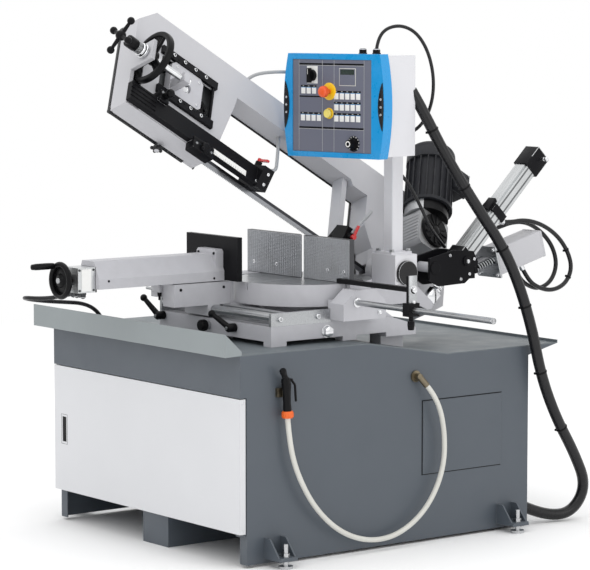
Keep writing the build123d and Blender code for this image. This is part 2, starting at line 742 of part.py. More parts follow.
def tension_handwheel():
    s, t, m = tension_s, tension_t, tension_m
    reach = tension_wheel
    wheel = rod((-1340, t, m), (-1024, t, m), 12)
    wheel += rod((-1262, t, m), (housing_front - gap, t, m), 26) + rod((-1300, t, m), (-1260, t, m), 20)
    rim = ring((s - 12, t, m), (s + 12, t, m), reach, reach - 20)
    wheel += fillet(rim.edges().filter_by(GeomType.CIRCLE), 8) + rod((s - 16, t, m), (s + 12, t, m), 26)
    for step in range(3):
        turn = math.radians(30 + 120 * step)
        spoke = (s, t + (reach - 10) * math.cos(turn), m + (reach - 10) * math.sin(turn))
        wheel += rod((s, t, m), spoke, 9)
    for step in range(4):
        turn = math.radians(45 + 90 * step)
        tip = (-1336, t + 58 * math.cos(turn), m + 58 * math.sin(turn))
        wheel += rod((-1336, t, m), tip, 7) + ball(tip, 13)
    wheel += ball((-1336, t, m), 18)
    save_upper("tension_handwheel", in_bow(wheel))


def guide_arm():
    bar = block(-1232, -600, -16, 55, 46, 68)
    for t in (-4, 12, 28, 44):
        bar -= block(-1233, -1120, t - 3, t + 3, 65, 69)
    arm = in_bow(bar)
    # The head stands square to the cut: in the cut frame the second axis is upright and the third runs to the right
    head = block(-640, -594, 8, 88, -40, 74) - block(-641, -593, 7, 15, -1.5, 1.5)
    arm += in_cut(head)
    valve = in_cut(rod((-612, 80, -10), (-612, 112, -10), 12))
    save_upper("guide_arm", arm + valve)


def rear_guide():
    head = in_cut(block(-192, -152, 8, 92, -25, 40) - block(-193, -151, 7, 15, -1.5, 1.5))
    arm = in_bow(block(-190, -166, 60, 300, -24, 24))
    valve = in_cut(rod((-172, 60, 39), (-172, 60, 62), 12))
    save_upper("rear_guide", head + arm + valve)


def taps():
    front = rod((-612, 112 + gap, -10), (-612, 124, -10), 9) + block(-617, -607, 114, 122, -14, 38)
    save_upper("front_tap", in_cut(front))
    rear = rod((-172, 60, 62 + gap), (-172, 60, 74), 9) + block(-176, -168, 56, 104, 64, 72)
    save_upper("rear_tap", in_cut(rear))


def guide_clamp():
    knob = rod((-1098, 66, 66), (-1098, 66, 98), 6) + ball((-1098, 66, 106), 15)
    save_upper("guide_clamp", in_bow(knob))


def gearbox():
    flange = rod((drive_s, wheel_centre_rise, housing_near), (drive_s, wheel_centre_rise, 56), 108)
    body = block(drive_s - 72, drive_s + 72, 112, 262, 55, 172)
    body = fillet(body.edges().filter_by(Axis.Z), 18)
    for t in range(132, 244, 14):
        body += block(drive_s - 73.5, drive_s + 73.5, t, t + 6, 70, 160)
    body += flange
    body -= rod((drive_s, wheel_centre_rise, 39), (drive_s, wheel_centre_rise, 62), 20 + running)
    body += rod((drive_s, 260, 128), (drive_s, 300, 128), 80)
    lid = rod((drive_s - 6, wheel_centre_rise, 172), (drive_s - 6, wheel_centre_rise, 186), 62)
    for step in range(12):
        rib = block(20, 56, -4, 4, 185, 190)
        lid += Pos(drive_s - 6, wheel_centre_rise, 0) * Rot(0, 0, 30 * step) * rib
    save_upper("gearbox", in_bow(body), in_bow(lid))


def drive_motor():
    s, m = drive_s, 132.0
    body = rod((s, 300, m), (s, 500, m), 78)
    for step in range(20):
        fin = block(72, 88, 312, 490, -2, 2)
        body += Pos(s, 0, m) * Rot(0, 18 * step, 0) * fin
    body += rod((s, 300, m), (s, 312, m), 88)
    cowl = rod((s, 492, m), (s, 562, m), 88)
    body += fillet(cowl.edges().filter_by(GeomType.CIRCLE).sort_by(Axis.Y)[-1], 24)
    body += block(s + 40, s + 112, 395, 480, m + 20, m + 92)
    save_upper("drive_motor", in_bow(body))


# Lift linkage and services at the rear

trunnion = (458.0, 944.0)
lift_angle = math.atan2(trunnion[1] - anchor[1], trunnion[0] - anchor[0])
lift_reach = math.dist(trunnion, anchor)
lift_plane = Plane(origin=(lift_x, *anchor), x_dir=(1, 0, 0), z_dir=(0, math.cos(lift_angle), math.sin(lift_angle)))


def on_lift(shape):
    # The third axis runs up the cylinder from the anchor, the first is level
    return lift_plane.location * shape


def lift_lever():
    outline = [(288, 886), (330, 862), (450, 866), (505, 905), (512, 940), (490, 978), (400, 986), (288, 962)]
    plates = []
    for near, pin_from, pin_to in ((lift_x - 46, lift_x - 37, lift_x - 18), (lift_x + 36, lift_x + 18, lift_x + 37)):
        plate = prism_x(outline, near, near + 10)
        plate -= rod((near - 1, 312, 928), (near + 11, 312, 928), 18 + running)
        plate += rod((pin_from, *trunnion), (pin_to, *trunnion), 12)
        plates.append(plate)
    bridge = block(lift_x - 37, lift_x + 37, 480, 505, 880, 905)
    seats = [on_tail(block(x - 14, x + 14, -20, 6, -8, spring_foot - spring_wire - gap)) for x in (-34, 34)]
    save_upper("lift_lever", plates[0] + plates[1] + bridge + seats[0] + seats[1])


def lift_cylinder():
    z = lift_reach
    tube_body = block(-31, 31, -31, 31, z + 38, z + 480)
    for corner_x in (-31, 31):
        for corner_y in (-31, 31):
            tube_body -= block(corner_x - 7, corner_x + 7, corner_y - 7, corner_y + 7, z + 37, z + 481)
    body = tube_body + block(-35, 35, -35, 35, z - 40, z + 40) + block(-35, 35, -35, 35, z + 478, z + 525)
    body += block(-34, 34, -34, 34, z + 215, z + 245)
    body -= rod((-40, 0, z), (-17, 0, z), 12 + running) + rod((17, 0, z), (40, 0, z), 12 + running)
    body -= rod((0, 0, z - 41), (0, 0, z + 440), 11 + running)
    save_upper("lift_cylinder", on_lift(body))


def lift_rod():
    z = lift_reach
    bar = rod((0, 0, 40), (0, 0, z + 300), 11)
    bar += block(-12, 12, -22, 22, -6, 66) + rod((-12, 0, 0), (12, 0, 0), 22)
    bar -= rod((-13, 0, 0), (13, 0, 0), 13.5)
    save_upper("lift_rod", on_lift(bar))


box_tilt = 15.0
tail_plane = Plane(origin=(lift_x, 505, 905), x_dir=(1, 0, 0),
                   z_dir=(0, math.cos(math.radians(box_tilt)), math.sin(math.radians(box_tilt))))


def on_tail(shape):
    # The third axis runs to the rear along the lever's tail, the second is up
    return tail_plane.location * shape


def junction_body():
    return block(-48, 48, -46, 50, 100, 330)


def junction_box():
    flange = block(-60, 60, -60, 55, 92, 100)
    tail = block(-14, 14, -20, 8, 3, 93)
    box = fillet(junction_body().edges(), 7) - block(-45, 45, -43, 47, 103, 327)
    save_upper("junction_box", on_tail(flange + tail), on_tail(box))


spring_wire = 2.6
spring_turns = 7
spring_length = 81.0
spring_foot = 8.0
spring_radius = 12.0


def spring_path():
    # Four arcs to a turn, each through three points of the helix
    steps = 4 * spring_turns

    def at(quarter):
        turn = math.pi / 2 * quarter
        return (spring_radius * math.cos(turn), spring_radius * math.sin(turn), spring_length * quarter / steps)

    arcs = [ThreePointArc(at(i), at(i + 0.5), at(i + 1)) for i in range(steps)]
    return arcs, at


def lever_springs():
    arcs, at = spring_path()
    path = Wire(arcs)
    start = Plane(origin=path @ 0, z_dir=path % 0)
    coil = sweep(start * Circle(spring_wire), path=path)
    print("spring self gap", round(spring_length / spring_turns - 2 * spring_wire, 2), "mm")
    save_upper("lever_springs", on_tail(Pos(34, -8, spring_foot) * coil), on_tail(Pos(-34, -8, spring_foot) * coil))


# Hoses and cables

# The gun, its hose and their holders are drawn from the face of the right side plate
gun_hose_route = [(28, -471, 491), (32, -466, 400), (40, -435, 290), (44, -365, 175), (42, -255, 82),
                  (38, -120, 37), (36, 10, 50), (38, 125, 125), (40, 195, 250), (40, 200, 385),
                  (45.9, 161.1, 501.9), (31.87, 125.18, 547.77)]
conduit_radius = 20.0
line_radius = 6.0
conduit_route = [(462, 160, 1552), (478, 200, 1480), (505, 275, 1330), (538, 390, 1150), (566, 495, 1000),
                 (586, 556, 860), (598, 606, 700), (602, 645, 540), (602, 715, 390), (600, 810, 250),
                 (592, 880, 120), (574, 820, 22), (550, 700, 30), (540, 621, 68)]
cable_route = [(387, 67, 1694), (389, 72, 1730), (400, 100, 1765), (425, 145, 1775), (452, 190, 1750),
               (470, 225, 1690), (478, 245, 1610), (472, 250, 1530), (452, 240, 1460), (415, 226, 1415),
               (378, 208, 1400), (347, 198, 1396)]
motor_cable_route = [(321, 223, 1262), (326, 250, 1236), (334, 284, 1182), (338, 318, 1122), (338, 354, 1062),
                     (334, 394, 1019), (327, 430, 989)]
pressure_route = [(367, 634, 1075), (370, 690, 1066), (376, 762, 1074), (382, 840, 1056), (386, 915, 1012),
                  (388, 968, 950), (388, 990, 885), (384, 962, 830), (378, 902, 808), (372, 838, 822),
                  (368, 786, 858), (366, 748, 924)]
return_route = [(352, 600, 1042), (346, 656, 1046), (342, 730, 1064), (338, 806, 1062), (336, 880, 1026),
                (338, 938, 968), (342, 958, 898), (346, 926, 838), (348, 864, 814), (350, 800, 832),
                (352, 754, 872), (354, 728, 920)]
vise_hose_route = [(-7, -925, 880), (-38, -929, 875), (-74, -962, 864), (-108, -1000, 862), (-150, -1018, 862),
                   (-188, -1000, 856), (-208, -955, 846), (-216, -890, 836), (-218, -815, 828), (-220, -745, 820),
                   (-222, -690, 796), (-224, -655, 752), (-225, -645, 709)]
# These two are in the cut frame
front_line_route = [(-598.5, 96.5, -10), (-575, 101, -14), (-545, 124, -30), (-520, 165, -58), (-505, 212, -92), (-497, 266, -135)]
rear_line_route = [(-172, 73, 52), (-168, 96, 54), (-152, 128, 46), (-126, 160, 28), (-100, 186, 2), (-76, 204, -28)]
beam_line_route = [(22, -222, 1579), (30, -205, 1618), (58, -152, 1646), (94, -70, 1650), (140, 0, 1636),
                   (204, 56, 1606)]


def on_side(shape):
    return Pos(half_width, 0, 0) * shape


def coolant_gun():
    body = rod((28, -472, 512), (29, -478, 615), 15) + rod((29, -476, 606), (34, -498, 657), 11)
    body += ball((29, -478, 614), 16)
    collar = rod((28, -471, 492), (28, -472, 513), 19)
    save("coolant_gun", on_side(body + collar))


def gun_trigger():
    lever = rod((25, -458, 618), (35, -458, 618), 4) + rod((30, -458, 618), (35, -446, 600), 4)
    lever += rod((35, -446, 600), (35, -442, 545), 4)
    save("gun_trigger", on_side(lever))


def hose_fittings():
    elbow = rod((0, 99, 580), (6, 99, 580), 20) + rod((5, 99, 580), (22, 100, 580), 11)
    elbow += ball((22, 100, 580), 12) + rod((22, 100, 580), (31.8, 125, 548), 11)
    hook = block(0, 13, -500, -448, 560, 590)
    hook -= rod((28, -470, 540), (28, -480, 620), 17)
    save("hose_fittings", on_side(elbow), on_side(hook))


def hoses():
    # Each end is trimmed flush with what it enters
    save("gun_hose", on_side(tube("gun_hose", gun_hose_route, 9)))
    route = follow(conduit_route, (0, 0, machine_rise), (half_width - 562, rear_plane - 620, 0))
    conduit = tube("main_conduit", route, conduit_radius) - Pos(0, 0, machine_rise) * box_body()
    save("main_conduit", conduit - block(half_width - 62, half_width + 18, rear_plane - 60, rear_plane, 0, 140))
    gland_top = panel_bottom + panel_height + 16
    route = follow(cable_route, (0, 0, gland_top - 1694), (0, 0, 0))
    cable = tube("control_cables", route, 6) - block(350, 420, 40, 110, gland_top - 24, gland_top)
    cable -= block(280, post_x + post_half, 150, 250, 1300, 1500)
    motor_cable = tube("motor_cable", motor_cable_route, 6) - block(280, 360, 150, pivot_y + post_half, 1200, 1300)
    save_upper("control_cables", cable, motor_cable)
    pressure = tube("pressure hose", pressure_route, 8)
    back = tube("return hose", return_route, 8)
    ends = on_tail(junction_body()) + on_lift(block(-35, 35, -31, 31, 0, lift_reach + 480))
    ends += on_lift(block(-34, 34, -34, 34, lift_reach + 215, lift_reach + 245))
    save_upper("hydraulic_hoses", pressure - ends, back - ends)
    route = follow(vise_hose_route, (0, 0, vice_screw_z - 934), (0, lip_front + 704, 0))
    save_upper("vise_hose", tube("vise_hose", route, 7) - block(-300, -150, -800, -500, 690, tray_top))
    beam = in_bow(block(-1000, -400, 300, housing_top, -45, housing_near)) + box_body()
    beam_line = tube("beam line", beam_line_route, line_radius) - beam
    front_line = in_cut(tube("front line", front_line_route, line_radius)) - beam
    rear_line = in_cut(tube("rear line", rear_line_route, line_radius)) - in_bow(block(-75, 20, 150, 300, -38, housing_near))
    save_upper("coolant_hoses", beam_line, front_line, rear_line)


def build_all():
    cabinet_panels()
    front_frame()
    base_floor()
    chip_tray()
    levelling_feet()
    base_services()
    front_door()
    machine_bed()
    vise_rails()
    stop_rod()
    stop_arm()
    fixed_jaws()
    vise_carriage()
    vise_arm()
    moving_jaw()
    vise_cylinder()
    vise_handwheel()
    clamp_lever("clamp_lever_left", -172, 762, math.radians(-40))
    clamp_lever("clamp_lever_right", 250, 757, math.radians(-55))
    lock_knob()
    turntable()
    pivot_shaft()
    control_post()
    control_box()
    operator_panel()
    panel_controls()
    bow_frame()
    gib_strips()
    front_cover()
    rear_cover()
    wheels()
    saw_blade()
    tension_slide()
    tension_handwheel()
    guide_arm()
    rear_guide()
    taps()
    guide_clamp()
    gearbox()
    drive_motor()
    lift_lever()
    lift_cylinder()
    lift_rod()
    junction_box()
    lever_springs()
    coolant_gun()
    gun_trigger()
    hose_fittings()
    hoses()


build_all()
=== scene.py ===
import math
import bpy
import bmesh
from mathutils import Matrix, Vector


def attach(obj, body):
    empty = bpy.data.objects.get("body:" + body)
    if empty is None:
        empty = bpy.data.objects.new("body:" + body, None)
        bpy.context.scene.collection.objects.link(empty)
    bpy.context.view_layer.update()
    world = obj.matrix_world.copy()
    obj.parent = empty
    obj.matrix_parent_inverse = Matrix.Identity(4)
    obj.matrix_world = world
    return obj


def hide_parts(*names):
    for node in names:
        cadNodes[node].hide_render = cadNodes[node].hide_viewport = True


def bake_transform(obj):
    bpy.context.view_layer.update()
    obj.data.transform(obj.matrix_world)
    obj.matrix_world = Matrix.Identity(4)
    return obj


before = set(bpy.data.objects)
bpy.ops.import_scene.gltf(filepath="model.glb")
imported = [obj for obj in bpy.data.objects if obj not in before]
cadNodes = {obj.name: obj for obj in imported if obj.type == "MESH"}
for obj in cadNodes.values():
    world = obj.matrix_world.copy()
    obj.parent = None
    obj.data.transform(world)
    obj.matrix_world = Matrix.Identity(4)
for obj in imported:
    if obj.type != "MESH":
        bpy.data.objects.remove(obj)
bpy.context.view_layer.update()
print("frame loaded,", len(cadNodes), "nodes")

# Local frames: pieces are modelled in millimetres and placed by one of these
mm = 0.001
plusX, plusY, plusZ = Vector((1, 0, 0)), Vector((0, 1, 0)), Vector((0, 0, 1))
machine = dict(
    bowPivot=(190, 198, 916), bladeDrop=20, bowRaise=30.8, bowLean=27,
    panelCorner=(122, -112, 1323), panelTurn=12,
    liftFoot=(367, 306, 795), liftTrunnion=(367, 458, 944), tailFoot=(367, 505, 905), tailRise=15)


def frameOf(origin, x, y, z):
    turned = Matrix((x, y, z)).transposed().to_4x4()
    turned.translation = Vector(origin) * mm
    return turned @ Matrix.Scale(mm, 4)


def rising(degrees):
    return Vector((0, math.cos(math.radians(degrees)), math.sin(math.radians(degrees))))


floorFrame = Matrix.Scale(mm, 4)
bowLean = math.radians(machine["bowLean"])
along = rising(-machine["bowRaise"])
upright = plusX.cross(along)
sideways = plusX * math.cos(bowLean) + upright * math.sin(bowLean)
bowOrigin = Vector(machine["bowPivot"]) - upright * machine["bladeDrop"]
# The bow's axes run along the blade, away from it and to the right
bowFrame = frameOf(bowOrigin, along, sideways.cross(along), sideways)
cutFrame = frameOf(bowOrigin, along, upright, plusX)
panelTurn = Matrix.Rotation(math.radians(machine["panelTurn"]), 3, "Z")
panelFrame = frameOf(machine["panelCorner"], panelTurn @ plusX, plusZ, panelTurn @ -plusY)
liftRun = Vector(machine["liftTrunnion"]) - Vector(machine["liftFoot"])
liftUp = liftRun.normalized()
liftFrame = frameOf(machine["liftFoot"], plusX, liftUp.cross(plusX), liftUp)
tailBack = rising(machine["tailRise"])
tailFrame = frameOf(machine["tailFoot"], plusX, tailBack.cross(plusX), tailBack)


def tone(r, g, b):
    def linear(v):
        v = v / 255
        return v / 12.92 if v < 0.04045 else ((v + 0.055) / 1.055) ** 2.4
    return (linear(r), linear(g), linear(b), 1)


# Shader groups shared by the finishes
def newGroup(name, colours, values, outputs):
    group = bpy.data.node_groups.new(name, "ShaderNodeTree")
    for kind, inputs in (("NodeSocketColor", colours), ("NodeSocketFloat", values)):
        for label, value in inputs.items():
            shape = "NodeSocketVector" if label == "Stretch" else kind
            socket = group.interface.new_socket(name=label, in_out="INPUT", socket_type=shape)
            socket.default_value = value
    for label in outputs:
        kind = "NodeSocketColor" if label == "Colour" else "NodeSocketFloat"
        group.interface.new_socket(name=label, in_out="OUTPUT", socket_type=kind)
    return group, group.nodes.new("NodeGroupInput").outputs, group.nodes.new("NodeGroupOutput").inputs


def addNode(tree, kind, **values):
    node = tree.nodes.new(kind)
    for key, value in values.items():
        if hasattr(node, key):
            setattr(node, key, value)
        else:
            node.inputs[key].default_value = value
    return node


def feed(tree, value, socket):
    if hasattr(value, "is_linked"):
        tree.links.new(value, socket)
    else:
        socket.default_value = value


def objectPlace(tree):
    return tree.nodes.new("ShaderNodeTexCoord").outputs["Object"]


def noiseOn(tree, vector, scale, detail=4.0, rough=0.55):
    noise = addNode(tree, "ShaderNodeTexNoise", Detail=detail, Roughness=rough)
    feed(tree, vector, noise.inputs["Vector"])
    feed(tree, scale, noise.inputs["Scale"])
    return noise.outputs["Fac"]


def spread(tree, value, low, high, toLow, toHigh):
    node = tree.nodes.new("ShaderNodeMapRange")
    settings = {"Value": value, "From Min": low, "From Max": high, "To Min": toLow, "To Max": toHigh}
    for label, setting in settings.items():
        feed(tree, setting, node.inputs[label])
    return node.outputs["Result"]


def mathOf(tree, operation, first, *others):
    for other in others:
        node = addNode(tree, "ShaderNodeMath", operation=operation)
        feed(tree, first, node.inputs[0])
        feed(tree, other, node.inputs[1])
        first = node.outputs[0]
    return first


def mixColour(tree, factor, first, second, blend="MIX"):
    node = addNode(tree, "ShaderNodeMix", data_type="RGBA", blend_type=blend)
    for index, value in ((0, factor), (6, first), (7, second)):
        feed(tree, value, node.inputs[index])
    return node.outputs[2]


def shaded(tree, colour, shade):
    grey = tree.nodes.new("ShaderNodeCombineColor")
    for channel in grey.inputs:
        feed(tree, shade, channel)
    return mixColour(tree, 1.0, colour, grey.outputs[0], "MULTIPLY")


def buildPaintSkin():
    group, given, out = newGroup("paintSkin", dict(Colour=(0.5, 0.5, 0.5, 1)),
                                 dict(Mottle=0.06, Rough=0.4, Dust=0.1, Peel=320.0),
                                 ("Colour", "Roughness", "Height"))
    place = objectPlace(group)
    low = mathOf(group, "SUBTRACT", 1.0, given["Mottle"])
    body = shaded(group, given["Colour"], spread(group, noiseOn(group, place, 3.1, 5), 0.3, 0.7, low, 1.0))
    # Dust settles on what faces up
    split = group.nodes.new("ShaderNodeSeparateXYZ")
    feed(group, group.nodes.new("ShaderNodeNewGeometry").outputs["Normal"], split.inputs[0])
    facing = spread(group, split.outputs["Z"], 0.5, 0.95, 0.0, 1.0)
    patch = spread(group, noiseOn(group, place, 17.0, 6), 0.35, 0.75, 0.2, 1.0)
    dust = mathOf(group, "MULTIPLY", facing, patch, given["Dust"])
    feed(group, mixColour(group, dust, body, tone(150, 147, 140)), out["Colour"])
    smear = spread(group, noiseOn(group, place, 9.0, 5), 0.3, 0.7, -0.06, 0.08)
    feed(group, mathOf(group, "ADD", given["Rough"], smear, dust), out["Roughness"])
    feed(group, noiseOn(group, place, given["Peel"], 2.0, 0.5), out["Height"])
    return group


def buildEdgeWear():
    group, given, out = newGroup("edgeWear", {}, dict(Width=0.002, Amount=0.5), ("Mask",))
    soft = addNode(group, "ShaderNodeBevel", samples=4)
    feed(group, given["Width"], soft.inputs["Radius"])
    dot = addNode(group, "ShaderNodeVectorMath", operation="DOT_PRODUCT")
    feed(group, soft.outputs[0], dot.inputs[0])
    feed(group, group.nodes.new("ShaderNodeNewGeometry").outputs["Normal"], dot.inputs[1])
    edge = spread(group, dot.outputs["Value"], 0.99, 0.86, 0.0, 1.0)
    chips = spread(group, noiseOn(group, objectPlace(group), 60.0, 6), 0.42, 0.62, 0.0, 1.0)
    feed(group, mathOf(group, "MULTIPLY", edge, chips, given["Amount"]), out["Mask"])
    return group


def buildSteelGrain():
    group, given, out = newGroup("steelGrain", dict(Colour=(0.6, 0.6, 0.6, 1)),
                                 dict(Rough=0.3, Stretch=(6.0, 260.0, 260.0), Stain=0.2),
                                 ("Colour", "Roughness", "Height"))
    place = objectPlace(group)
    longer = addNode(group, "ShaderNodeVectorMath", operation="MULTIPLY")
    feed(group, place, longer.inputs[0])
    feed(group, given["Stretch"], longer.inputs[1])
    lines = noiseOn(group, longer.outputs[0], 1.0, 5, 0.6)
    body = shaded(group, given["Colour"], spread(group, lines, 0.3, 0.7, 0.86, 1.04))
    cloud = spread(group, noiseOn(group, place, 11.0, 6), 0.5, 0.75, 0.0, 1.0)
    stain = mathOf(group, "MULTIPLY", cloud, given["Stain"])
    feed(group, mixColour(group, stain, body, tone(96, 90, 84)), out["Colour"])
    streak = spread(group, lines, 0.3, 0.7, -0.07, 0.09)
    feed(group, mathOf(group, "ADD", given["Rough"], streak), out["Roughness"])
    feed(group, lines, out["Height"])
    return group


def buildCastSkin():
    group, given, out = newGroup("castSkin", dict(Colour=(0.6, 0.6, 0.6, 1)),
                                 dict(Rough=0.5, Pits=260.0, Mottle=0.12), ("Colour", "Roughness", "Height"))
    place = objectPlace(group)
    grain = addNode(group, "ShaderNodeTexVoronoi", feature="F1")
    feed(group, place, grain.inputs["Vector"])
    feed(group, given["Pits"], grain.inputs["Scale"])
    cloud = noiseOn(group, place, 24.0, 6)
    low = mathOf(group, "SUBTRACT", 1.0, given["Mottle"])
    feed(group, shaded(group, given["Colour"], spread(group, cloud, 0.3, 0.7, low, 1.0)), out["Colour"])
    patch = spread(group, cloud, 0.3, 0.7, -0.08, 0.1)
    feed(group, mathOf(group, "ADD", given["Rough"], patch), out["Roughness"])
    feed(group, mathOf(group, "ADD", grain.outputs["Distance"], cloud), out["Height"])
    return group


edgeWear = buildEdgeWear()
plainLook = dict(wear=0, wearWidth=0.0025, under=(150, 150, 148), coat=0.0, spec=0.5)
paintLook = dict(plainLook, group=buildPaintSkin(), inputs=("mottle", "dust", "peel"), peel=320, metal=0.0,
                 bump=0.12, depth=0.0004, edge=0.0015)
steelLook = dict(plainLook, group=buildSteelGrain(), inputs=("stretch", "stain"), metal=1.0,
                 bump=0.08, depth=0.0003, edge=0.001)
castLook = dict(plainLook, group=buildCastSkin(), inputs=("pits", "mottle"), metal=0.0,
                bump=0.15, depth=0.0005, edge=0.0015)
print("shader groups ready")


# Finishes
def blankFinish(name):
    material = bpy.data.materials.new(name)
    material.use_nodes = True
    tree = material.node_tree
    return material, tree, tree.nodes["Principled BSDF"].inputs


def useGroup(tree, group, **values):
    node = tree.nodes.new("ShaderNodeGroup")
    node.node_tree = group
    for key, value in values.items():
        node.inputs[key].default_value = value
    return node.outputs


def makeFinish(name, d):
    material, tree, shader = blankFinish(name)
    skin = useGroup(tree, d["group"], Colour=tone(*d["colour"]), Rough=d["rough"],
                    **{key.capitalize(): d[key] for key in d["inputs"]})
    colour = skin["Colour"]
    if d["wear"]:
        worn = useGroup(tree, edgeWear, Width=d["wearWidth"], Amount=d["wear"])
        colour = mixColour(tree, worn["Mask"], colour, tone(*d["under"]))
    bump = addNode(tree, "ShaderNodeBump", Strength=d["bump"], Distance=d["depth"])
    feed(tree, skin["Height"], bump.inputs["Height"])
    softEdge = addNode(tree, "ShaderNodeBevel", samples=4, Radius=d["edge"])
    feed(tree, softEdge.outputs[0], bump.inputs["Normal"])
    settings = {"Base Color": colour, "Roughness": skin["Roughness"], "Metallic": d["metal"],
                "Coat Weight": d["coat"], "Specular IOR Level": d["spec"], "Normal": bump.outputs[0]}
    for label, setting in settings.items():
        feed(tree, setting, shader[label])
    return material


paints = dict(
    cabinetPaint=dict(colour=(80, 87, 95), rough=0.42, mottle=0.05, dust=0.05, wear=0.25),
    trayPaint=dict(colour=(140, 147, 149), rough=0.40, mottle=0.06, dust=0.08, wear=0.35),
    # deckPaint is the tray paint darkened as painted shade, for the deck under the bed
    deckPaint=dict(colour=(100, 108, 113), rough=0.42, mottle=0.06, dust=0.06, wear=0.25),
    doorPaint=dict(colour=(214, 215, 218), rough=0.34, mottle=0.03, dust=0.02),
    bodyPaint=dict(colour=(190, 190, 194), rough=0.38, mottle=0.04, dust=0.05, wear=0.2),
    creamPaint=dict(colour=(220, 220, 224), rough=0.36, mottle=0.04, dust=0.03),
    motorPaint=dict(colour=(42, 43, 47), rough=0.46, mottle=0.14, dust=0.05, wear=0.25, spec=0.14),
    blackSteel=dict(colour=(20, 20, 23), rough=0.38, mottle=0.2, dust=0.02, wear=0.35, under=(90, 90, 92),
                    spec=0.1),
    darkSteel=dict(colour=(70, 71, 74), rough=0.38, mottle=0.15, dust=0.03, wear=0.5, metal=0.6),
    plateGrey=dict(colour=(104, 107, 122), rough=0.42, mottle=0.03, dust=0.0),
    # greyShade is a dark grey painted as the shade in recesses: the wheels behind the bow's window and the
    # lift's grooves
    greyShade=dict(colour=(96, 98, 100), rough=0.5, mottle=0.1, dust=0.0),
    displayGlass=dict(colour=(20, 40, 30), rough=0.12, mottle=0.05, dust=0.0, coat=0.6),
    # darkSeam is the dark of real seams, and also painted shade in the back cover's slits
    darkSeam=dict(colour=(24, 26, 29), rough=0.6, mottle=0.1, dust=0.0, spec=0.2),
    whiteFilm=dict(colour=(236, 236, 234), rough=0.40, mottle=0.02, dust=0.0))

steels = dict(
    groundSteel=dict(colour=(182, 184, 186), rough=0.30, stretch=(7, 240, 240), stain=0.12),
    turnedSteel=dict(colour=(200, 201, 203), rough=0.24, stretch=(180, 180, 180), stain=0.10),
    bladeSteel=dict(colour=(150, 152, 156), rough=0.32, stretch=(9, 9, 300), stain=0.2),
    bladeBack=dict(colour=(66, 67, 71), rough=0.36, stretch=(9, 9, 300), stain=0.2),
    jawSteel=dict(colour=(176, 178, 182), rough=0.36, stretch=(120, 120, 120), stain=0.2),
    chrome=dict(colour=(225, 226, 228), rough=0.10, stretch=(30, 30, 30), stain=0.0, bump=0.01),
    drawnAluminium=dict(colour=(205, 207, 208), rough=0.30, stretch=(200, 7, 7), stain=0.05, metal=0.85),
    brass=dict(colour=(132, 122, 102), rough=0.36, stretch=(60, 60, 60), stain=0.3))

casts = dict(
    castPaint=dict(colour=(188, 188, 193), rough=0.44, pits=180, mottle=0.07, bump=0.10),
    castAluminium=dict(colour=(190, 191, 192), rough=0.42, pits=320, mottle=0.14, metal=0.75),
    bluePlastic=dict(colour=(0, 148, 214), rough=0.30, pits=900, mottle=0.04, bump=0.04, coat=0.2),
    blackPlastic=dict(colour=(15, 15, 17), rough=0.32, pits=700, mottle=0.15, bump=0.08, spec=0.14),
    redPlastic=dict(colour=(206, 28, 30), rough=0.30, pits=900, mottle=0.05, bump=0.03, coat=0.3),
    stopRed=dict(colour=(240, 92, 36), rough=0.30, pits=900, mottle=0.05, bump=0.03, coat=0.3),
    yellowPlastic=dict(colour=(246, 200, 20), rough=0.32, pits=900, mottle=0.04, bump=0.03, coat=0.2),
    lampYellow=dict(colour=(240, 222, 116), rough=0.28, pits=900, mottle=0.03, bump=0.03, coat=0.3),
    orangePlastic=dict(colour=(238, 104, 30), rough=0.40, pits=900, mottle=0.06, bump=0.05),
    blackRubber=dict(colour=(17, 17, 20), rough=0.27, pits=1100, mottle=0.2, bump=0.06, spec=0.4),
    paleHose=dict(colour=(214, 213, 206), rough=0.44, pits=800, mottle=0.06, bump=0.05),
    greyHose=dict(colour=(170, 172, 174), rough=0.42, pits=800, mottle=0.08, bump=0.05))

finishes = {}
for look, kinds in ((paintLook, paints), (steelLook, steels), (castLook, casts)):
    finishes.update({name: makeFinish(name, {**look, **d}) for name, d in kinds.items()})

nodeFinish = dict(
    cabinetPaint=["cabinet_panels", "front_frame", "base_floor"],
    trayPaint=["chip_tray"],
    doorPaint=["front_door"],
    bodyPaint=["bow_frame", "front_cover", "rear_cover", "junction_box", "base_services"],
    castPaint=["machine_bed", "vise_carriage", "vise_arm", "tension_slide", "turntable"],
    creamPaint=["control_post", "control_box"],
    bluePlastic=["operator_panel"],
    groundSteel=["vise_rails", "stop_rod"],
    turnedSteel=["pivot_shaft", "levelling_feet", "lift_rod", "lever_springs"],
    bladeSteel=["saw_blade"],
    blackSteel=["moving_jaw", "clamp_lever_left", "clamp_lever_right", "gib_strips", "guide_arm",
                "rear_guide", "lift_lever", "stop_arm"],
    blackPlastic=["vise_handwheel", "lock_knob", "mode_selector", "speed_knob", "tension_handwheel",
                  "guide_clamp", "coolant_gun", "gun_trigger"],
    redPlastic=["emergency_stop", "front_tap", "rear_tap"],
    yellowPlastic=["start_button"],
    castAluminium=["gearbox"],
    drawnAluminium=["lift_cylinder", "vise_cylinder"],
    motorPaint=["drive_motor"],
    darkSteel=["fixed_jaw_left", "fixed_jaw_right"],
    # The idler and drive wheels take painted shade, so the recess behind the window reads dark
    greyShade=["idler_wheel", "drive_wheel"],
    brass=["hose_fittings"])
for finish, names in nodeFinish.items():
    for name in names:
        cadNodes[name].data.materials.clear()
        cadNodes[name].data.materials.append(finishes[finish])


def paintWhere(node, finish, placing, chosen):
    # Second finish on the faces of one solid, picked by their place in a local frame
    mesh = cadNodes[node].data
    mesh.materials.append(finishes[finish])
    back = placing.inverted()
    for face in mesh.polygons:
        if chosen(back @ face.center, face.normal):
            face.material_index = len(mesh.materials) - 1


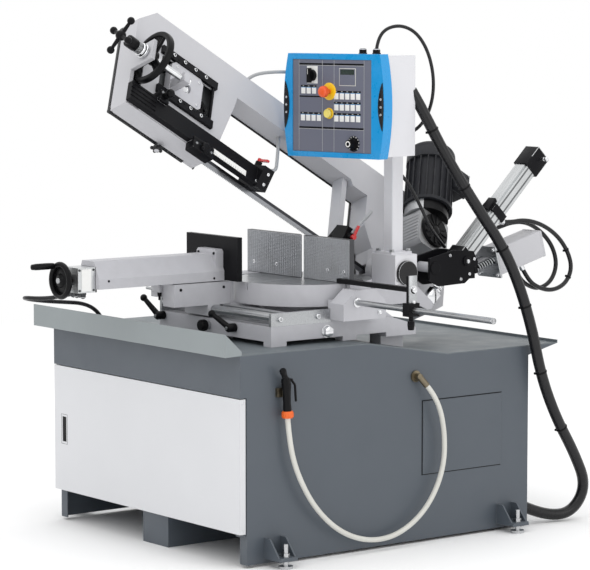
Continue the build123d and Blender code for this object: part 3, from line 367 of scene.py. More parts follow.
paintWhere("turntable", "groundSteel", floorFrame, lambda p, n: p.z > 896 and n.z > 0.9 and p.y < 142)
paintWhere("turntable", "creamPaint", floorFrame, lambda p, n: p.z > 876.5 and p.y > 143 and p.x > 200)
# Painted shade: the tray's deck and tail take a darker copy of the tray paint, for the shade under the bed
paintWhere("chip_tray", "deckPaint", floorFrame, lambda p, n: p.y > -610)
paintWhere("rear_guide", "bodyPaint", bowFrame, lambda p, n: p.y > 110)
paintWhere("gearbox", "blackPlastic", bowFrame, lambda p, n: p.z > 172.5)
paintWhere("stop_rod", "castPaint", floorFrame, lambda p, n: p.x < 526)
print("finishes set")


# Hoses and cables, in millimetres. A hose between two bodies has a span and is baked in place, and those
# marked cut have their points in the cut's frame
cords = dict(
    gunHose=dict(
        node="gun_hose", body="base", radius=9, finish="paleHose", length=1.335,
        points=[(590, -471, 491), (594, -466, 400), (602, -435, 290), (606, -365, 175), (604, -255, 82),
                (600, -120, 37), (598, 10, 50), (600, 125, 125), (602, 195, 250), (602, 200, 385),
                (607.9, 161.1, 501.9), (593.87, 125.18, 547.77)]),
    mainConduit=dict(
        node="main_conduit", body=("swivel", "base"), radius=20, finish="blackRubber", length=1.93,
        span=((478, 200, 1480), (586, 556, 860)),
        points=[(462, 160, 1552), (478, 200, 1480), (505, 275, 1330), (538, 390, 1150), (566, 495, 1000),
                (586, 556, 860), (598, 606, 700), (602, 645, 540), (602, 715, 390), (600, 810, 250),
                (592, 880, 120), (574, 820, 22), (550, 700, 30), (540, 621, 68)]),
    boxCable=dict(
        node="control_cables", body="swivel", radius=6, finish="blackRubber", length=0.63,
        points=[(387, 67, 1694), (389, 72, 1730), (400, 100, 1765), (425, 145, 1775), (452, 190, 1750),
                (470, 225, 1690), (478, 245, 1610), (472, 250, 1530), (452, 240, 1460), (415, 226, 1415),
                (378, 208, 1400), (347, 198, 1396)]),
    motorCable=dict(
        node="control_cables", body=("swivel", "bow"), radius=6, finish="blackRubber", length=0.35,
        span=((321, 223, 1262), (327, 430, 989)),
        points=[(321, 223, 1262), (326, 250, 1236), (334, 284, 1182), (338, 318, 1122), (338, 354, 1062),
                (334, 394, 1019), (327, 430, 989)]),
    pressureHose=dict(
        node="hydraulic_hoses", body=("lift_barrel", "bow"), radius=8, finish="blackRubber", length=0.76,
        span=((367, 634, 1066), (367, 634, 930)),
        points=[(367, 634, 1075), (370, 690, 1066), (376, 762, 1074), (382, 840, 1056), (386, 915, 1012),
                (388, 968, 950), (388, 990, 885), (384, 962, 830), (378, 902, 808), (372, 838, 822),
                (368, 786, 858), (366, 748, 924)]),
    returnHose=dict(
        node="hydraulic_hoses", body=("lift_barrel", "bow"), radius=8, finish="blackRubber", length=0.74,
        span=((352, 600, 1040), (352, 600, 930)),
        points=[(352, 600, 1042), (346, 656, 1046), (342, 730, 1064), (338, 806, 1062), (336, 880, 1026),
                (338, 938, 968), (342, 958, 898), (346, 926, 838), (348, 864, 814), (350, 800, 832),
                (352, 754, 872), (354, 728, 920)]),
    viseHose=dict(
        node="vise_hose", body=("vise", "carriage"), radius=7, finish="blackRubber", length=0.63,
        span=((-7, -925, 862), (-222, -925, 862)),
        points=[(-7, -925, 880), (-38, -929, 875), (-74, -962, 864), (-108, -1000, 862), (-150, -1018, 862),
                (-188, -1000, 856), (-208, -955, 846), (-216, -890, 836), (-218, -815, 828),
                (-220, -745, 820), (-222, -690, 796), (-224, -655, 752), (-225, -645, 709)]),
    beamLine=dict(
        node="coolant_hoses", body=("bow", "swivel"), radius=6, finish="greyHose", length=0.35,
        span=((22, -222, 1579), (204, 56, 1606)),
        points=[(22, -222, 1579), (32, -205, 1600), (58, -152, 1612), (94, -70, 1612), (140, 0, 1602),
                (204, 56, 1578)]),
    frontLine=dict(
        node="coolant_hoses", body=("guide", "bow"), radius=6, finish="greyHose", length=0.265, cut=True,
        span=((-598.5, 96.5, -10), (-497, 266, -135)),
        points=[(-598.5, 96.5, -10), (-586, 98.5, 5), (-566, 104, 9), (-546, 118, 6), (-526, 160, -40),
                (-508, 212, -90), (-497, 266, -135)]),
    rearLine=dict(
        node="coolant_hoses", body="bow", radius=6, finish="greyHose", length=0.19, cut=True,
        points=[(-172, 73, 52), (-168, 96, 54), (-152, 128, 46), (-126, 160, 28), (-100, 186, 2),
                (-76, 204, -28)]))
cordLines = {}
cordSpans = {}


def carry(piece, body, span=None):
    # One body, or, for a piece with a span, none: its place is baked into its mesh
    if span:
        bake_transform(piece)
    else:
        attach(piece, body)


def layCord(name, d):
    placing = cutFrame if d.get("cut") else floorFrame
    points = [placing @ Vector(p) for p in d["points"]]
    cordSpans[name] = [placing @ Vector(p) for p in d.get("span", ())]
    curve = bpy.data.curves.new(name, "CURVE")
    curve.dimensions = "3D"
    spline = curve.splines.new("NURBS")
    spline.points.add(len(points) - 1)
    for point, place in zip(spline.points, points):
        point.co = (*place, 1)
    spline.order_u = 3
    spline.use_endpoint_u = True
    spline.resolution_u = 10
    curve.materials.append(finishes[d["finish"]])
    cord = bpy.data.objects.new(name, curve)
    cordLines[name] = [vert.co.copy() for vert in bpy.data.meshes.new_from_object(cord).vertices]
    curve.bevel_depth = d["radius"] * mm
    curve.bevel_resolution = 4
    curve.use_fill_caps = True
    if cordSpans[name]:
        tube = bpy.data.meshes.new_from_object(cord)
        bpy.data.objects.remove(cord)
        cord = bpy.data.objects.new(name, tube)
    bpy.context.scene.collection.objects.link(cord)
    carry(cord, d["body"], cordSpans[name])
    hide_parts(d["node"])


for name, d in cords.items():
    layCord(name, d)
print("cords laid:", len(cordLines))


# Modelling helpers: each works on a bmesh in millimetres, and usedFinishes lists the finishes of the piece
# in work
usedFinishes = []
sharpAngle = math.radians(38)


def startPiece(finish):
    usedFinishes[:] = [finish]
    return bmesh.new()


def finishIndex(finish):
    if finish is None:
        return 0
    if finish not in usedFinishes:
        usedFinishes.append(finish)
    return usedFinishes.index(finish)


def newFaces(bm, before, finish):
    index = finishIndex(finish)
    for face in bm.faces:
        if face not in before:
            face.material_index = index
            face.smooth = True


def around(count, radius, first=0):
    # Places round a circle, from a first angle in degrees
    turns = [math.radians(first) + 2 * math.pi * step / count for step in range(count)]
    return [(radius * math.cos(turn), radius * math.sin(turn)) for turn in turns]


def roundEdges(bm, edges, width, segments):
    bmesh.ops.bevel(bm, geom=list(edges), offset=width, offset_type="OFFSET", segments=segments, profile=0.5,
                    affect="EDGES", clamp_overlap=True, material=-1)


def addBox(bm, low, high, bevel=0, segments=2, finish=None):
    before = set(bm.faces)
    low, high = Vector(low), Vector(high)
    verts = bmesh.ops.create_cube(bm, size=1)["verts"]
    bmesh.ops.scale(bm, vec=high - low, verts=verts)
    bmesh.ops.translate(bm, vec=(low + high) / 2, verts=verts)
    if bevel:
        roundEdges(bm, {edge for vert in verts for edge in vert.link_edges}, bevel, segments)
    newFaces(bm, before, finish)


def turnTo(place, direction):
    turned = Vector(direction).to_track_quat("Z", "Y").to_matrix().to_4x4()
    turned.translation = Vector(place)
    return turned


def addRod(bm, start, end, radius, segments=24, bevel=0, finish=None, endRadius=None):
    before = set(bm.faces)
    start, end = Vector(start), Vector(end)
    bmesh.ops.create_cone(bm, cap_ends=True, segments=segments, radius1=radius,
                          radius2=radius if endRadius is None else endRadius, depth=(end - start).length,
                          matrix=turnTo((start + end) / 2, end - start))
    if bevel:
        caps = [face for face in bm.faces if face not in before and len(face.verts) == segments]
        roundEdges(bm, {edge for face in caps for edge in face.edges}, bevel, 2)
    newFaces(bm, before, finish)


def addLathe(bm, profile, place, direction, segments=40, finish=None):
    # profile holds (radius, height), with heights from the place along the direction
    before = set(bm.faces)
    verts = [bm.verts.new((radius, 0, height)) for radius, height in profile]
    edges = [bm.edges.new(pair) for pair in zip(verts, verts[1:])]
    bmesh.ops.spin(bm, geom=verts + edges, cent=(0, 0, 0), axis=(0, 0, 1), angle=2 * math.pi,
                   steps=segments, use_merge=True)
    shape = {vert for face in bm.faces if face not in before for vert in face.verts}
    bmesh.ops.remove_doubles(bm, verts=list(shape), dist=0.001)
    shape = {vert for face in bm.faces if face not in before for vert in face.verts}
    bmesh.ops.transform(bm, matrix=turnTo(place, direction), verts=list(shape))
    newFaces(bm, before, finish)


def addBall(bm, centre, radius, detail=3, finish=None):
    before = set(bm.faces)
    bmesh.ops.create_icosphere(bm, subdivisions=detail, radius=radius,
                               matrix=Matrix.Translation(Vector(centre)))
    newFaces(bm, before, finish)


def addPlate(bm, outline, low, high, bevel=0, finish=None):
    # outline holds points of the first two axes
    before = set(bm.faces)
    face = bm.faces.new([bm.verts.new((x, y, low)) for x, y in outline])
    pushed = bmesh.ops.extrude_face_region(bm, geom=[face])["geom"]
    tops = [item for item in pushed if isinstance(item, bmesh.types.BMVert)]
    bmesh.ops.translate(bm, vec=(0, 0, high - low), verts=tops)
    if bevel:
        made = [item for item in bm.faces if item not in before]
        roundEdges(bm, {edge for item in made for edge in item.edges}, bevel, 2)
    newFaces(bm, before, finish)


def addScrews(bm, places, direction, radius, height, finish=None):
    # Heads with a chamfered rim and a hollow for the key
    hollow, floor = radius * 0.55, height * 0.45
    head = [(0, 0), (radius, 0), (radius, height * 0.8), (radius * 0.86, height), (hollow, height),
            (hollow, floor), (0, floor)]
    for place in places:
        addLathe(bm, head, place, direction, 20, finish)


def addHexBolts(bm, places, direction, flats, height, finish=None):
    washer, washerRadius, headRadius = 1.6, flats * 0.66, flats * 0.577
    for place in places:
        seat, top = (Vector(place) + direction * out for out in (washer, washer + height))
        addRod(bm, place, seat, washerRadius, finish=finish)
        addRod(bm, seat, top, headRadius, 6, 0.8, finish)


def addStrip(bm, points, low, high, thick, bevel=1.0, finish=None):
    # A flat edging along a chain of points of the first two axes, on the left of its run
    for first, last in zip(points, points[1:]):
        first, last = Vector(first), Vector(last)
        run = (last - first).normalized()
        out = Vector((-run.y, run.x)) * thick
        addPlate(bm, [first - run, last + run, last + run + out, first - run + out], low, high, bevel, finish)


def finishPiece(name, bm, placing, body, replaced=None, span=None, shell=True):
    # An open sheet, which is no shell, keeps the side that it was made with
    if shell:
        bmesh.ops.recalc_face_normals(bm, faces=bm.faces)
    bmesh.ops.transform(bm, matrix=placing, verts=bm.verts)
    if placing.determinant() < 0:
        bmesh.ops.reverse_faces(bm, faces=bm.faces)
    mesh = bpy.data.meshes.new(name)
    bm.to_mesh(mesh)
    bm.free()
    if shell:
        mesh.set_sharp_from_angle(angle=sharpAngle)
    for finish in usedFinishes:
        mesh.materials.append(finishes[finish])
    piece = bpy.data.objects.new(name, mesh)
    bpy.context.scene.collection.objects.link(piece)
    carry(piece, body, span)
    if replaced:
        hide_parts(replaced)


# Bow: edging, screws and the blade tension
coverTrim = dict(
    edge=[(-1216, 343), (-1225, 335), (-1225, -18), (-880, -18)], low=-52, high=-34, thick=12, bevel=1.5,
    knob=(-1000, -27, -42), knobShape=[(0, 0), (13, 0), (15, 4), (15, 12), (11, 17), (0, 18)],
    lobes=5, lobeRing=17, lobeRadius=6.5, lobeOut=8)


def makeCoverTrim(d):
    bm = startPiece("blackRubber")
    addStrip(bm, d["edge"], d["low"], d["high"], d["thick"], d["bevel"])
    s, t, m = d["knob"]
    addLathe(bm, d["knobShape"], d["knob"], -plusY, 24)
    for x, y in around(d["lobes"], d["lobeRing"]):
        addBall(bm, (s + x, t - d["lobeOut"], m + y), d["lobeRadius"], 2)
    finishPiece("coverTrim", bm, bowFrame, "wheel_cover_front")


beamTrim = dict(
    low=-46, high=-39, coverHigh=-38, thick=4,
    beam=[(-76, 284), (-150, 284), (-165, 300), (-744, 300)],
    front=[(-744, 303), (-752, 262), (-805, 69), (-834, -18)],
    rearCover=[(-18, -18), (-30, 75), (-75, 150), (-75, 280)])


def makeBeamTrim(d):
    bm = startPiece("blackRubber")
    for edge in (d["beam"], d["front"]):
        addStrip(bm, edge, d["low"], d["high"], d["thick"])
    finishPiece("beamTrim", bm, bowFrame, "bow")
    bm = startPiece("blackRubber")
    addStrip(bm, d["rearCover"], d["low"], d["coverHigh"], d["thick"])
    finishPiece("rearCoverTrim", bm, bowFrame, "wheel_cover_rear")


tensionGear = dict(
    hub=(-1192, 160, 100), rimRadius=86, rimWide=9.5, rimDeep=11.5, rimHalf=12,
    hubFront=15.5, hubShape=[(12, 0), (22, 0), (25.5, 4), (25.5, 24), (22, 27), (12, 27)],
    spokes=3, spokeTurn=30, spokeBars=(-8, 0, 8), spokeNear=18, spokeFar=80, spokeFan=1.5,
    spokeRoot=6.5, spokeTip=5.5, screw=(-1330, -1026), screwRadius=11.5,
    largeCollar=-1238, largeShape=[(12, 0), (24, 0), (26, 2), (26, 9), (24, 11), (12, 11)],
    smallCollar=-1250, smallShape=[(12, 0), (22, 0), (24, 2), (24, 8), (22, 10), (12, 10)],
    washers=4, washerFront=-1255, washerStep=4, washerShape=[(12, 0), (20, 0.6), (20, 2.6), (12, 3.2)],
    neck=-1306, neckShape=[(12, 0), (19, 0), (21, 3), (21, 34), (18, 38), (12, 38)],
    star=-1336, starArms=4, starTurn=45, starReach=58, starMiddle=18, starBall=13,
    starRoot=8, starTip=5.5)


def makeTensionWheel(d):
    bm = startPiece("blackPlastic")
    s, t, m = d["hub"]
    rim = []
    for x, y in [*around(24, 1), (1, 0)]:
        # A rim between a circle and a rounded square in section
        bulge = (x ** 4 + y ** 4) ** -0.25
        rim.append((d["rimRadius"] + d["rimWide"] * bulge * x, d["rimHalf"] + d["rimDeep"] * bulge * y))
    addLathe(bm, rim, (s - d["rimHalf"], t, m), plusX, 72)
    addLathe(bm, d["hubShape"], (s - d["hubFront"], t, m), plusX, 36)
    hub = Vector(d["hub"])
    for x, y in around(d["spokes"], 1, d["spokeTurn"]):
        out, wide = Vector((0, x, y)), Vector((0, -y, x))
        for offset in d["spokeBars"]:
            near = hub + out * d["spokeNear"] + wide * offset
            far = hub + out * d["spokeFar"] + wide * offset * d["spokeFan"]
            addRod(bm, near, far, d["spokeRoot"], 14, endRadius=d["spokeTip"])
    # Screw, chrome collars and spring washers in front of the bracket
    front, back = d["screw"]
    addRod(bm, (front, t, m), (back, t, m), d["screwRadius"], finish="chrome")
    addLathe(bm, d["largeShape"], (d["largeCollar"], t, m), plusX, 36, "chrome")
    addLathe(bm, d["smallShape"], (d["smallCollar"], t, m), plusX, 36, "chrome")
    for step in range(d["washers"]):
        place = (d["washerFront"] - d["washerStep"] * step, t, m)
        addLathe(bm, d["washerShape"], place, plusX, 32, "groundSteel")
    addLathe(bm, d["neckShape"], (d["neck"], t, m), plusX, 32)
    star = (d["star"], t, m)
    addBall(bm, star, d["starMiddle"])
    for x, y in around(d["starArms"], d["starReach"], d["starTurn"]):
        tip = (d["star"], t + x, m + y)
        addRod(bm, star, tip, d["starRoot"], 16, endRadius=d["starTip"])
        addBall(bm, tip, d["starBall"])
    finishPiece("tensionWheel", bm, bowFrame, "tension_wheel", "tension_handwheel")


slideFace = dict(
    axle=(-985, 190, 38), axleShape=[(0, 4), (10, 4), (11, 5), (15, 5), (16, 3), (19.5, 3), (19.5, 0)],
    screws=[(-1036, 246, 48), (-932, 244, 48), (-932, 148, 48)],
    bracket=((-1058.4, 141.6, 48.2), (-1031.6, 178.4, 118.4)),
    nut=((-1031.5, 160, 100), (-1022, 160, 100)), nutRadius=17)


def makeSlideFace(d):
    bm = startPiece("chrome")
    addLathe(bm, d["axleShape"], d["axle"], plusZ, 36)
    addScrews(bm, d["screws"], plusZ, radius=5, height=2)
    # Nut and bracket face of the tension screw
    addBox(bm, *d["bracket"], 3, finish="castPaint")
    addRod(bm, *d["nut"], d["nutRadius"], 6, 0.8)
    finishPiece("slideFace", bm, bowFrame, "tensioner")


gibScrews = dict(
    large=[(s, t, 52) for s in (-1060, -1010, -960, -910) for t in (114, 278)],
    small=[(s, t, 52) for s in (-1036, -986, -936) for t in (119, 273)],
    windowEdgeShade=[(-860, 129), (-860, 263)], edgeLow=40, edgeHigh=50, edgeThick=8)


def makeGibScrews(d):
    bm = startPiece("chrome")
    addScrews(bm, d["large"], plusZ, radius=7, height=5.5)
    addScrews(bm, d["small"], plusZ, radius=3.6, height=1.2, finish="blackSteel")
    # Painted shade: a dark strip in the recess at the window's edge beside the slide
    addStrip(bm, d["windowEdgeShade"], d["edgeLow"], d["edgeHigh"], d["edgeThick"], finish="blackSteel")
    finishPiece("gibScrews", bm, bowFrame, "bow")


keeperCaps = dict(
    boxes=[((-1119, 55.5, 41), (-1077, 83, 81)), ((-1119, 43, 68.5), (-1077, 60, 81)),
           ((-949, -49, 41), (-854, -17, 81))],
    lip=[(-949, -20), (-949, -5), (-854, -5), (-854, -20)], lipLow=68.5, top=81,
    grip=(-901, -30), gripShape=[(0, 0), (14, 0), (16, 3), (16, 13), (13, 16), (0, 17)],
    lobes=5, lobeRing=16, lobeRadius=6, lobeOut=9,
    screws=[(-935, -28), (-867, -28), (-1110, 75), (-1086, 75)])


def makeKeeperCaps(d):
    bm = startPiece("blackSteel")
    for low, high in d["boxes"]:
        addBox(bm, low, high, 3)
    # The keeper under the bar has a lip and a grip
    addPlate(bm, d["lip"], d["lipLow"], d["top"], 2)
    s, t = d["grip"]
    addLathe(bm, d["gripShape"], (s, t, d["top"]), plusZ, 28)
    for x, y in around(d["lobes"], d["lobeRing"]):
        addBall(bm, (s + x, t + y, d["top"] + d["lobeOut"]), d["lobeRadius"], 2)
    screws = [(s, t, d["top"]) for s, t in d["screws"]]
    addScrews(bm, screws, plusZ, radius=4.5, height=3, finish="groundSteel")
    finishPiece("keeperCaps", bm, bowFrame, "bow")


guideArm = dict(
    rule=((-846, -13, 68.02), (-690, 9, 68.22)), marks=15, firstMark=(-840, -12, 68.2), markStep=10,
    markWide=0.8, markProud=0.06, longMark=12, shortMark=7,
    ruleScrews=[(-618, 40, 68), (-618, 10, 68), (-640, -4, 68)],
    endBolts=[(-590, 28, 40), (-590, 66, 40)], faceBolts=[(-615, 28, 74), (-615, 66, 74)],
    knob=(-1098, 66), neckFoot=81.8, neck=[(6.2, 0), (11, 0), (12, 2), (12, 10), (8, 12), (6.2, 12)],
    ballHeight=106, ballRadius=15.2)


def makeGuideDetail(d):
    bm = startPiece("whiteFilm")
    addBox(bm, *d["rule"])
    for step in range(d["marks"]):
        low = Vector(d["firstMark"]) + plusX * d["markStep"] * step
        long = d["shortMark"] if step % 5 else d["longMark"]
        addBox(bm, low, low + Vector((d["markWide"], long, d["markProud"])), finish="blackPlastic")
    addScrews(bm, d["ruleScrews"], plusZ, radius=6, height=4, finish="chrome")
    finishPiece("guideRule", bm, bowFrame, "guide")
    bm = startPiece("chrome")
    addScrews(bm, d["endBolts"], plusX, radius=6, height=4)
    addScrews(bm, d["faceBolts"], plusZ, radius=6, height=4)
    finishPiece("guideBolts", bm, cutFrame, "guide")
    bm = startPiece("blackPlastic")
    addLathe(bm, d["neck"], (*d["knob"], d["neckFoot"]), plusZ, 24)
    addBall(bm, (*d["knob"], d["ballHeight"]), d["ballRadius"])
    finishPiece("guideKnob", bm, bowFrame, "guide_lock", "guide_clamp")


blade = dict(
    front=-985, rear=145, radius=190, half=13.5, darkBack=3, thick=0.9, pitch=7, gullet=0.2, depth=4,
    twists=(-915, -745, -147, 105), turn=math.pi / 2 - bowLean)


def bladeTurn(s, d):
    first, second, third, last = d["twists"]
    share = min((s - first) / (second - first), (last - s) / (last - third), 1)
    return d["turn"] * max(share, 0)


def bladeStation(run, d):
    # Middle, width and outward direction of the loop at one length along it
    span, arc, radius = d["rear"] - d["front"], math.pi * d["radius"], d["radius"]
    if run < span:
        turn = bladeTurn(d["front"] + run, d)
        wide = Vector((0, math.sin(turn), math.cos(turn)))
        return Vector((d["front"] + run, 0, 0)), wide, Vector((0, -math.cos(turn), math.sin(turn)))
    if run < span + arc:
        turn = (run - span) / radius
        out = Vector((math.sin(turn), -math.cos(turn), 0))
        return Vector((d["rear"], radius, 0)) + out * radius, plusZ, out
    if run < 2 * span + arc:
        return Vector((d["rear"] - (run - span - arc), 2 * radius, 0)), plusZ, plusY
    turn = (run - 2 * span - arc) / radius
    out = Vector((-math.sin(turn), math.cos(turn), 0))
    return Vector((d["front"], radius, 0)) + out * radius, plusZ, out


def makeBlade(d):
    bm = startPiece("bladeSteel")
    loop = 2 * (d["rear"] - d["front"]) + 2 * math.pi * d["radius"]
    count = round(loop / d["pitch"])
    rows = []
    for tooth in range(count):
        for share, reach in ((0, d["half"]), (d["gullet"], d["half"] - d["depth"])):
            middle, wide, out = bladeStation((tooth + share) * loop / count, d)
            half = out * d["thick"] / 2
            line = [middle + wide * height for height in (d["half"], d["darkBack"], -reach)]
            corners = [place + half for place in line] + [place - half for place in reversed(line)]
            rows.append([bm.verts.new(corner) for corner in corners])
    # The back band of the loop, on both faces and on the back edge, takes the darker bladeBack finish
    darkBack = finishIndex("bladeBack")
    for first, last in zip(rows, rows[1:] + rows[:1]):
        for side in range(6):
            other = (side + 1) % 6
            face = bm.faces.new((first[side], last[side], last[other], first[other]))
            face.material_index = darkBack if side in (0, 4, 5) else 0
    finishPiece("bladeLoop", bm, bowFrame, "bow", "saw_blade")


# Jaws: toothed faces and their screws
jawTeeth = dict(
    pitchX=12.5, pitchZ=5.0, depth=2.6,
    faces=dict(
        jawTeethLeft=dict(x=(-132, 184), z=(901, 1049), y=-100.1, turn=0, body="left_jaw"),
        jawTeethRight=dict(x=(196, 449), z=(901, 1049), y=-100.1, turn=0, body="right_jaw"),
        jawTeethMoving=dict(x=(-115, 183), z=(909, 1053), y=-356.9, turn=math.pi, body="vise")))


def makeJawTeeth(d):
    for name, jaw in d["faces"].items():
        bm = startPiece("jawSteel")
        (left, right), (low, high) = jaw["x"], jaw["z"]
        columns, rows = round((right - left) / d["pitchX"]), round((high - low) / d["pitchZ"])
        bmesh.ops.create_grid(bm, x_segments=columns, y_segments=rows, size=0.5)
        bmesh.ops.scale(bm, vec=(right - left, high - low, 1), verts=bm.verts)
        bmesh.ops.poke(bm, faces=bm.faces, offset=d["depth"])
        for angle, axis in ((math.pi / 2, "X"), (jaw["turn"], "Z")):
            bmesh.ops.rotate(bm, cent=(0, 0, 0), matrix=Matrix.Rotation(angle, 3, axis), verts=bm.verts)
        bmesh.ops.translate(bm, vec=((left + right) / 2, jaw["y"], (low + high) / 2), verts=bm.verts)
        finishPiece(name, bm, floorFrame, jaw["body"], shell=False)


jawScrews = dict(
    jawScrewsLeft=dict(screws=[(-92, -99, 938), (40, -99, 938)], body="left_jaw"),
    jawScrewsRight=dict(screws=[(330, -99, 938), (420, -99, 938)], body="right_jaw"))


def makeJawScrews(d):
    for name, jaw in d.items():
        bm = startPiece("chrome")
        addScrews(bm, jaw["screws"], -plusY, radius=7, height=3.2)
        finishPiece(name, bm, floorFrame, jaw["body"])


# Vise: handwheel, levers and fittings
viseWheel = dict(
    place=(42, -1000, 934), rim=54, rimWide=9, rimDeep=10, front=9,
    disc=[(0, 0), (14, 0), (20, 3), (24, 10), (47, 14), (47, 20), (20, 22), (18, 46), (0, 46)],
    capFront=12, cap=[(0, 0), (9, 0), (10, 1.5), (10, 4), (0, 4)], spindle=(-962, -720), spindleRadius=11.9,
    crankTurn=120, crankRing=55, crankFront=8,
    crank=[(0, 0), (9, 0), (10, 4), (11, 24), (11, 70), (9, 86), (0, 90)])


def makeViseWheel(d):
    bm = startPiece("blackPlastic")
    x, y, z = d["place"]
    circle = [*around(16, 1), (1, 0)]
    rim = [(d["rim"] + d["rimWide"] * out, d["front"] + d["rimDeep"] * up) for out, up in circle]
    for shape, segments in ((rim, 56), (d["disc"], 48)):
        addLathe(bm, shape, (x, y - d["front"], z), plusY, segments)
    addLathe(bm, d["cap"], (x, y - d["capFront"], z), plusY, 24, "groundSteel")
    front, back = d["spindle"]
    addRod(bm, (x, front, z), (x, back, z), d["spindleRadius"], finish="groundSteel")
    for out, up in around(1, d["crankRing"], d["crankTurn"]):
        addLathe(bm, d["crank"], (x + out, y - d["crankFront"], z + up), -plusY, 24)
    finishPiece("viseWheel", bm, floorFrame, "vise_wheel", "vise_handwheel")


levers = dict(
    face=-435, gap=0.3, hub=[(0, 0), (13, 0), (15, 2), (15, 30), (11, 36), (0, 37)],
    capOut=36, cap=[(0, 0), (6, 0), (6, 3), (0, 3)], armOut=24, tipOut=52, reach=78, ball=12.6,
    armRoot=11, armTip=8,
    places=dict(
        leverLeft=dict(x=-172, z=762, lean=-40, body="left_lever", node="clamp_lever_left"),
        leverRight=dict(x=250, z=757, lean=-55, body="right_lever", node="clamp_lever_right")))


def makeLevers(d):
    for name, lever in d["places"].items():
        bm = startPiece("blackPlastic")
        x, z, face, lean = lever["x"], lever["z"], d["face"], math.radians(lever["lean"])
        tip = (x + d["reach"] * math.sin(lean), face - d["tipOut"], z + d["reach"] * math.cos(lean))
        addLathe(bm, d["hub"], (x, face - d["gap"], z), -plusY, 28)
        addLathe(bm, d["cap"], (x, face - d["capOut"], z), -plusY, 6, "groundSteel")
        addRod(bm, (x, face - d["armOut"], z), tip, d["armRoot"], 20, endRadius=d["armTip"])
        addBall(bm, tip, d["ball"])
        finishPiece(name, bm, floorFrame, lever["body"], lever["node"])


viseFittings = dict(
    unions=(25, 62), y=-925, nut=(892, 884), pipe=(884, 876), bend=879, elbow=880, elbowReach=26,
    nutRadius=12.5, pipeRadius=9.6, elbowRadius=8.2,
    joint=((-5, -925, 880), (7, -925, 880)), jointRadius=10.5,
    plate=((87, -946, 897), (87.8, -908, 971)),
    screws=[(87, y, z) for y in (-954, -899) for z in (900, 968)],
    portBlock=((1.2, -892.5, 891.5), (87.6, -886, 976.5)))


def makeViseFittings(d):
    bm = startPiece("darkSteel")
    y = d["y"]
    for x in d["unions"]:
        addRod(bm, *[(x, y, z) for z in d["nut"]], d["nutRadius"], 6, 0.8)
        addRod(bm, *[(x, y, z) for z in d["pipe"]], d["pipeRadius"], 20, 0.5)
        addBall(bm, (x, y, d["bend"]), d["pipeRadius"])
        ends = (x, y, d["elbow"]), (x - d["elbowReach"], y, d["elbow"])
        addRod(bm, *ends, d["elbowRadius"], 20, 0.5)
    addRod(bm, *d["joint"], d["jointRadius"], 6, 0.6)
    # Bare plate and port block on the cylinder
    addBox(bm, *d["plate"], 0.3, 1, "whiteFilm")
    addScrews(bm, d["screws"], plusX, radius=4, height=2.5)
    addBox(bm, *d["portBlock"], 1, 1, "blackSteel")
    finishPiece("viseFittings", bm, floorFrame, "vise")


armDetail = dict(
    sideScrews=[(108, -852, 928), (108, -420, 912)], frontScrews=[(0, -408, 996), (90, -408, 996)],
    block=((-8, -601, 868), (40, -587, 893)), bolt=((-8, -594, 878), (-46, -594, 878)), boltRadius=5,
    nozzle=(30, -594, 868), nozzleShape=[(0, 0), (7, 0), (7, 10), (4, 14), (4, 26), (0, 27)],
    carriageScrews=[(108, -560, 880), (108, -380, 880)])


def makeArmDetail(d):
    bm = startPiece("blackSteel")
    addScrews(bm, d["sideScrews"], plusX, radius=4, height=1.5)
    addScrews(bm, d["frontScrews"], -plusY, radius=5, height=3)
    finishPiece("armScrews", bm, floorFrame, "vise")
    # Nozzle and bolt under the carriage's front
    bm = startPiece("castPaint")
    addBox(bm, *d["block"], 2)
    addLathe(bm, d["nozzleShape"], d["nozzle"], -plusZ, 20, "blackSteel")
    addRod(bm, *d["bolt"], d["boltRadius"], 16, 0.5, "groundSteel")
    addScrews(bm, d["carriageScrews"], plusX, radius=5, height=2.5, finish="blackSteel")
    finishPiece("carriageStop", bm, floorFrame, "carriage")


lockKnob = dict(
    x=98, z=752, collarFoot=-435.3, collar=[(0, 0), (13, 0), (14, 1.5), (14, 13), (0, 13)],
    gripFoot=-449, grip=[(0, 0), (17, 0), (18.5, 3), (18.5, 23), (16, 26), (0, 26)],
    ribs=12, ribRing=18, ribRadius=2.2, ribEnds=(-452, -472))


def makeLockKnob(d):
    bm = startPiece("blackPlastic")
    addLathe(bm, d["collar"], (d["x"], d["collarFoot"], d["z"]), -plusY, 24, "groundSteel")
    addLathe(bm, d["grip"], (d["x"], d["gripFoot"], d["z"]), -plusY, 30)
    for x, z in around(d["ribs"], d["ribRing"]):
        addRod(bm, *[(d["x"] + x, y, d["z"] + z) for y in d["ribEnds"]], d["ribRadius"], 8)
    finishPiece("lockKnob", bm, floorFrame, "lock", "lock_knob")


# Control panel
panelFace = dict(
    plate=((20.4, 18.4, -2.9), (369.6, 334.6, -1.9)), face=-1.9, lineProud=0.2, barProud=0.3,
    lines=(48, 153, 205, 337), lineEnds=(20, 333), lineWide=0.8,
    bars=(98, 316), barRuns=((49, 152), (155, 204), (207, 336)), barWide=6, barLine=(48, 337), barLineDrop=2,
    shortBar=((50, 205, -1.9), (152, 210, -1.6)),
    keyRows=[(68, 228, 3), (66, 135, 4), (216, 211, 5), (216, 173, 5), (216, 135, 5)], keyPitch=24,
    keyLow=Vector((-9.2, -11.2, -2.4)), keyHigh=Vector((9.2, 9.4, -0.6)),
    stripLow=Vector((-11, 12, -1.9)), stripHigh=Vector((11, 18, -1.4)),
    signLow=Vector((-3, 14, -1.5)), signHigh=Vector((3, 16, -1.3)),
    bezel=((228, 246, -2.4), (301, 306, -1.0)), inside=((230, 248, -1.6), (299, 304, -0.8)),
    glass=((234, 284, -1.0), (295, 302, -0.5)))


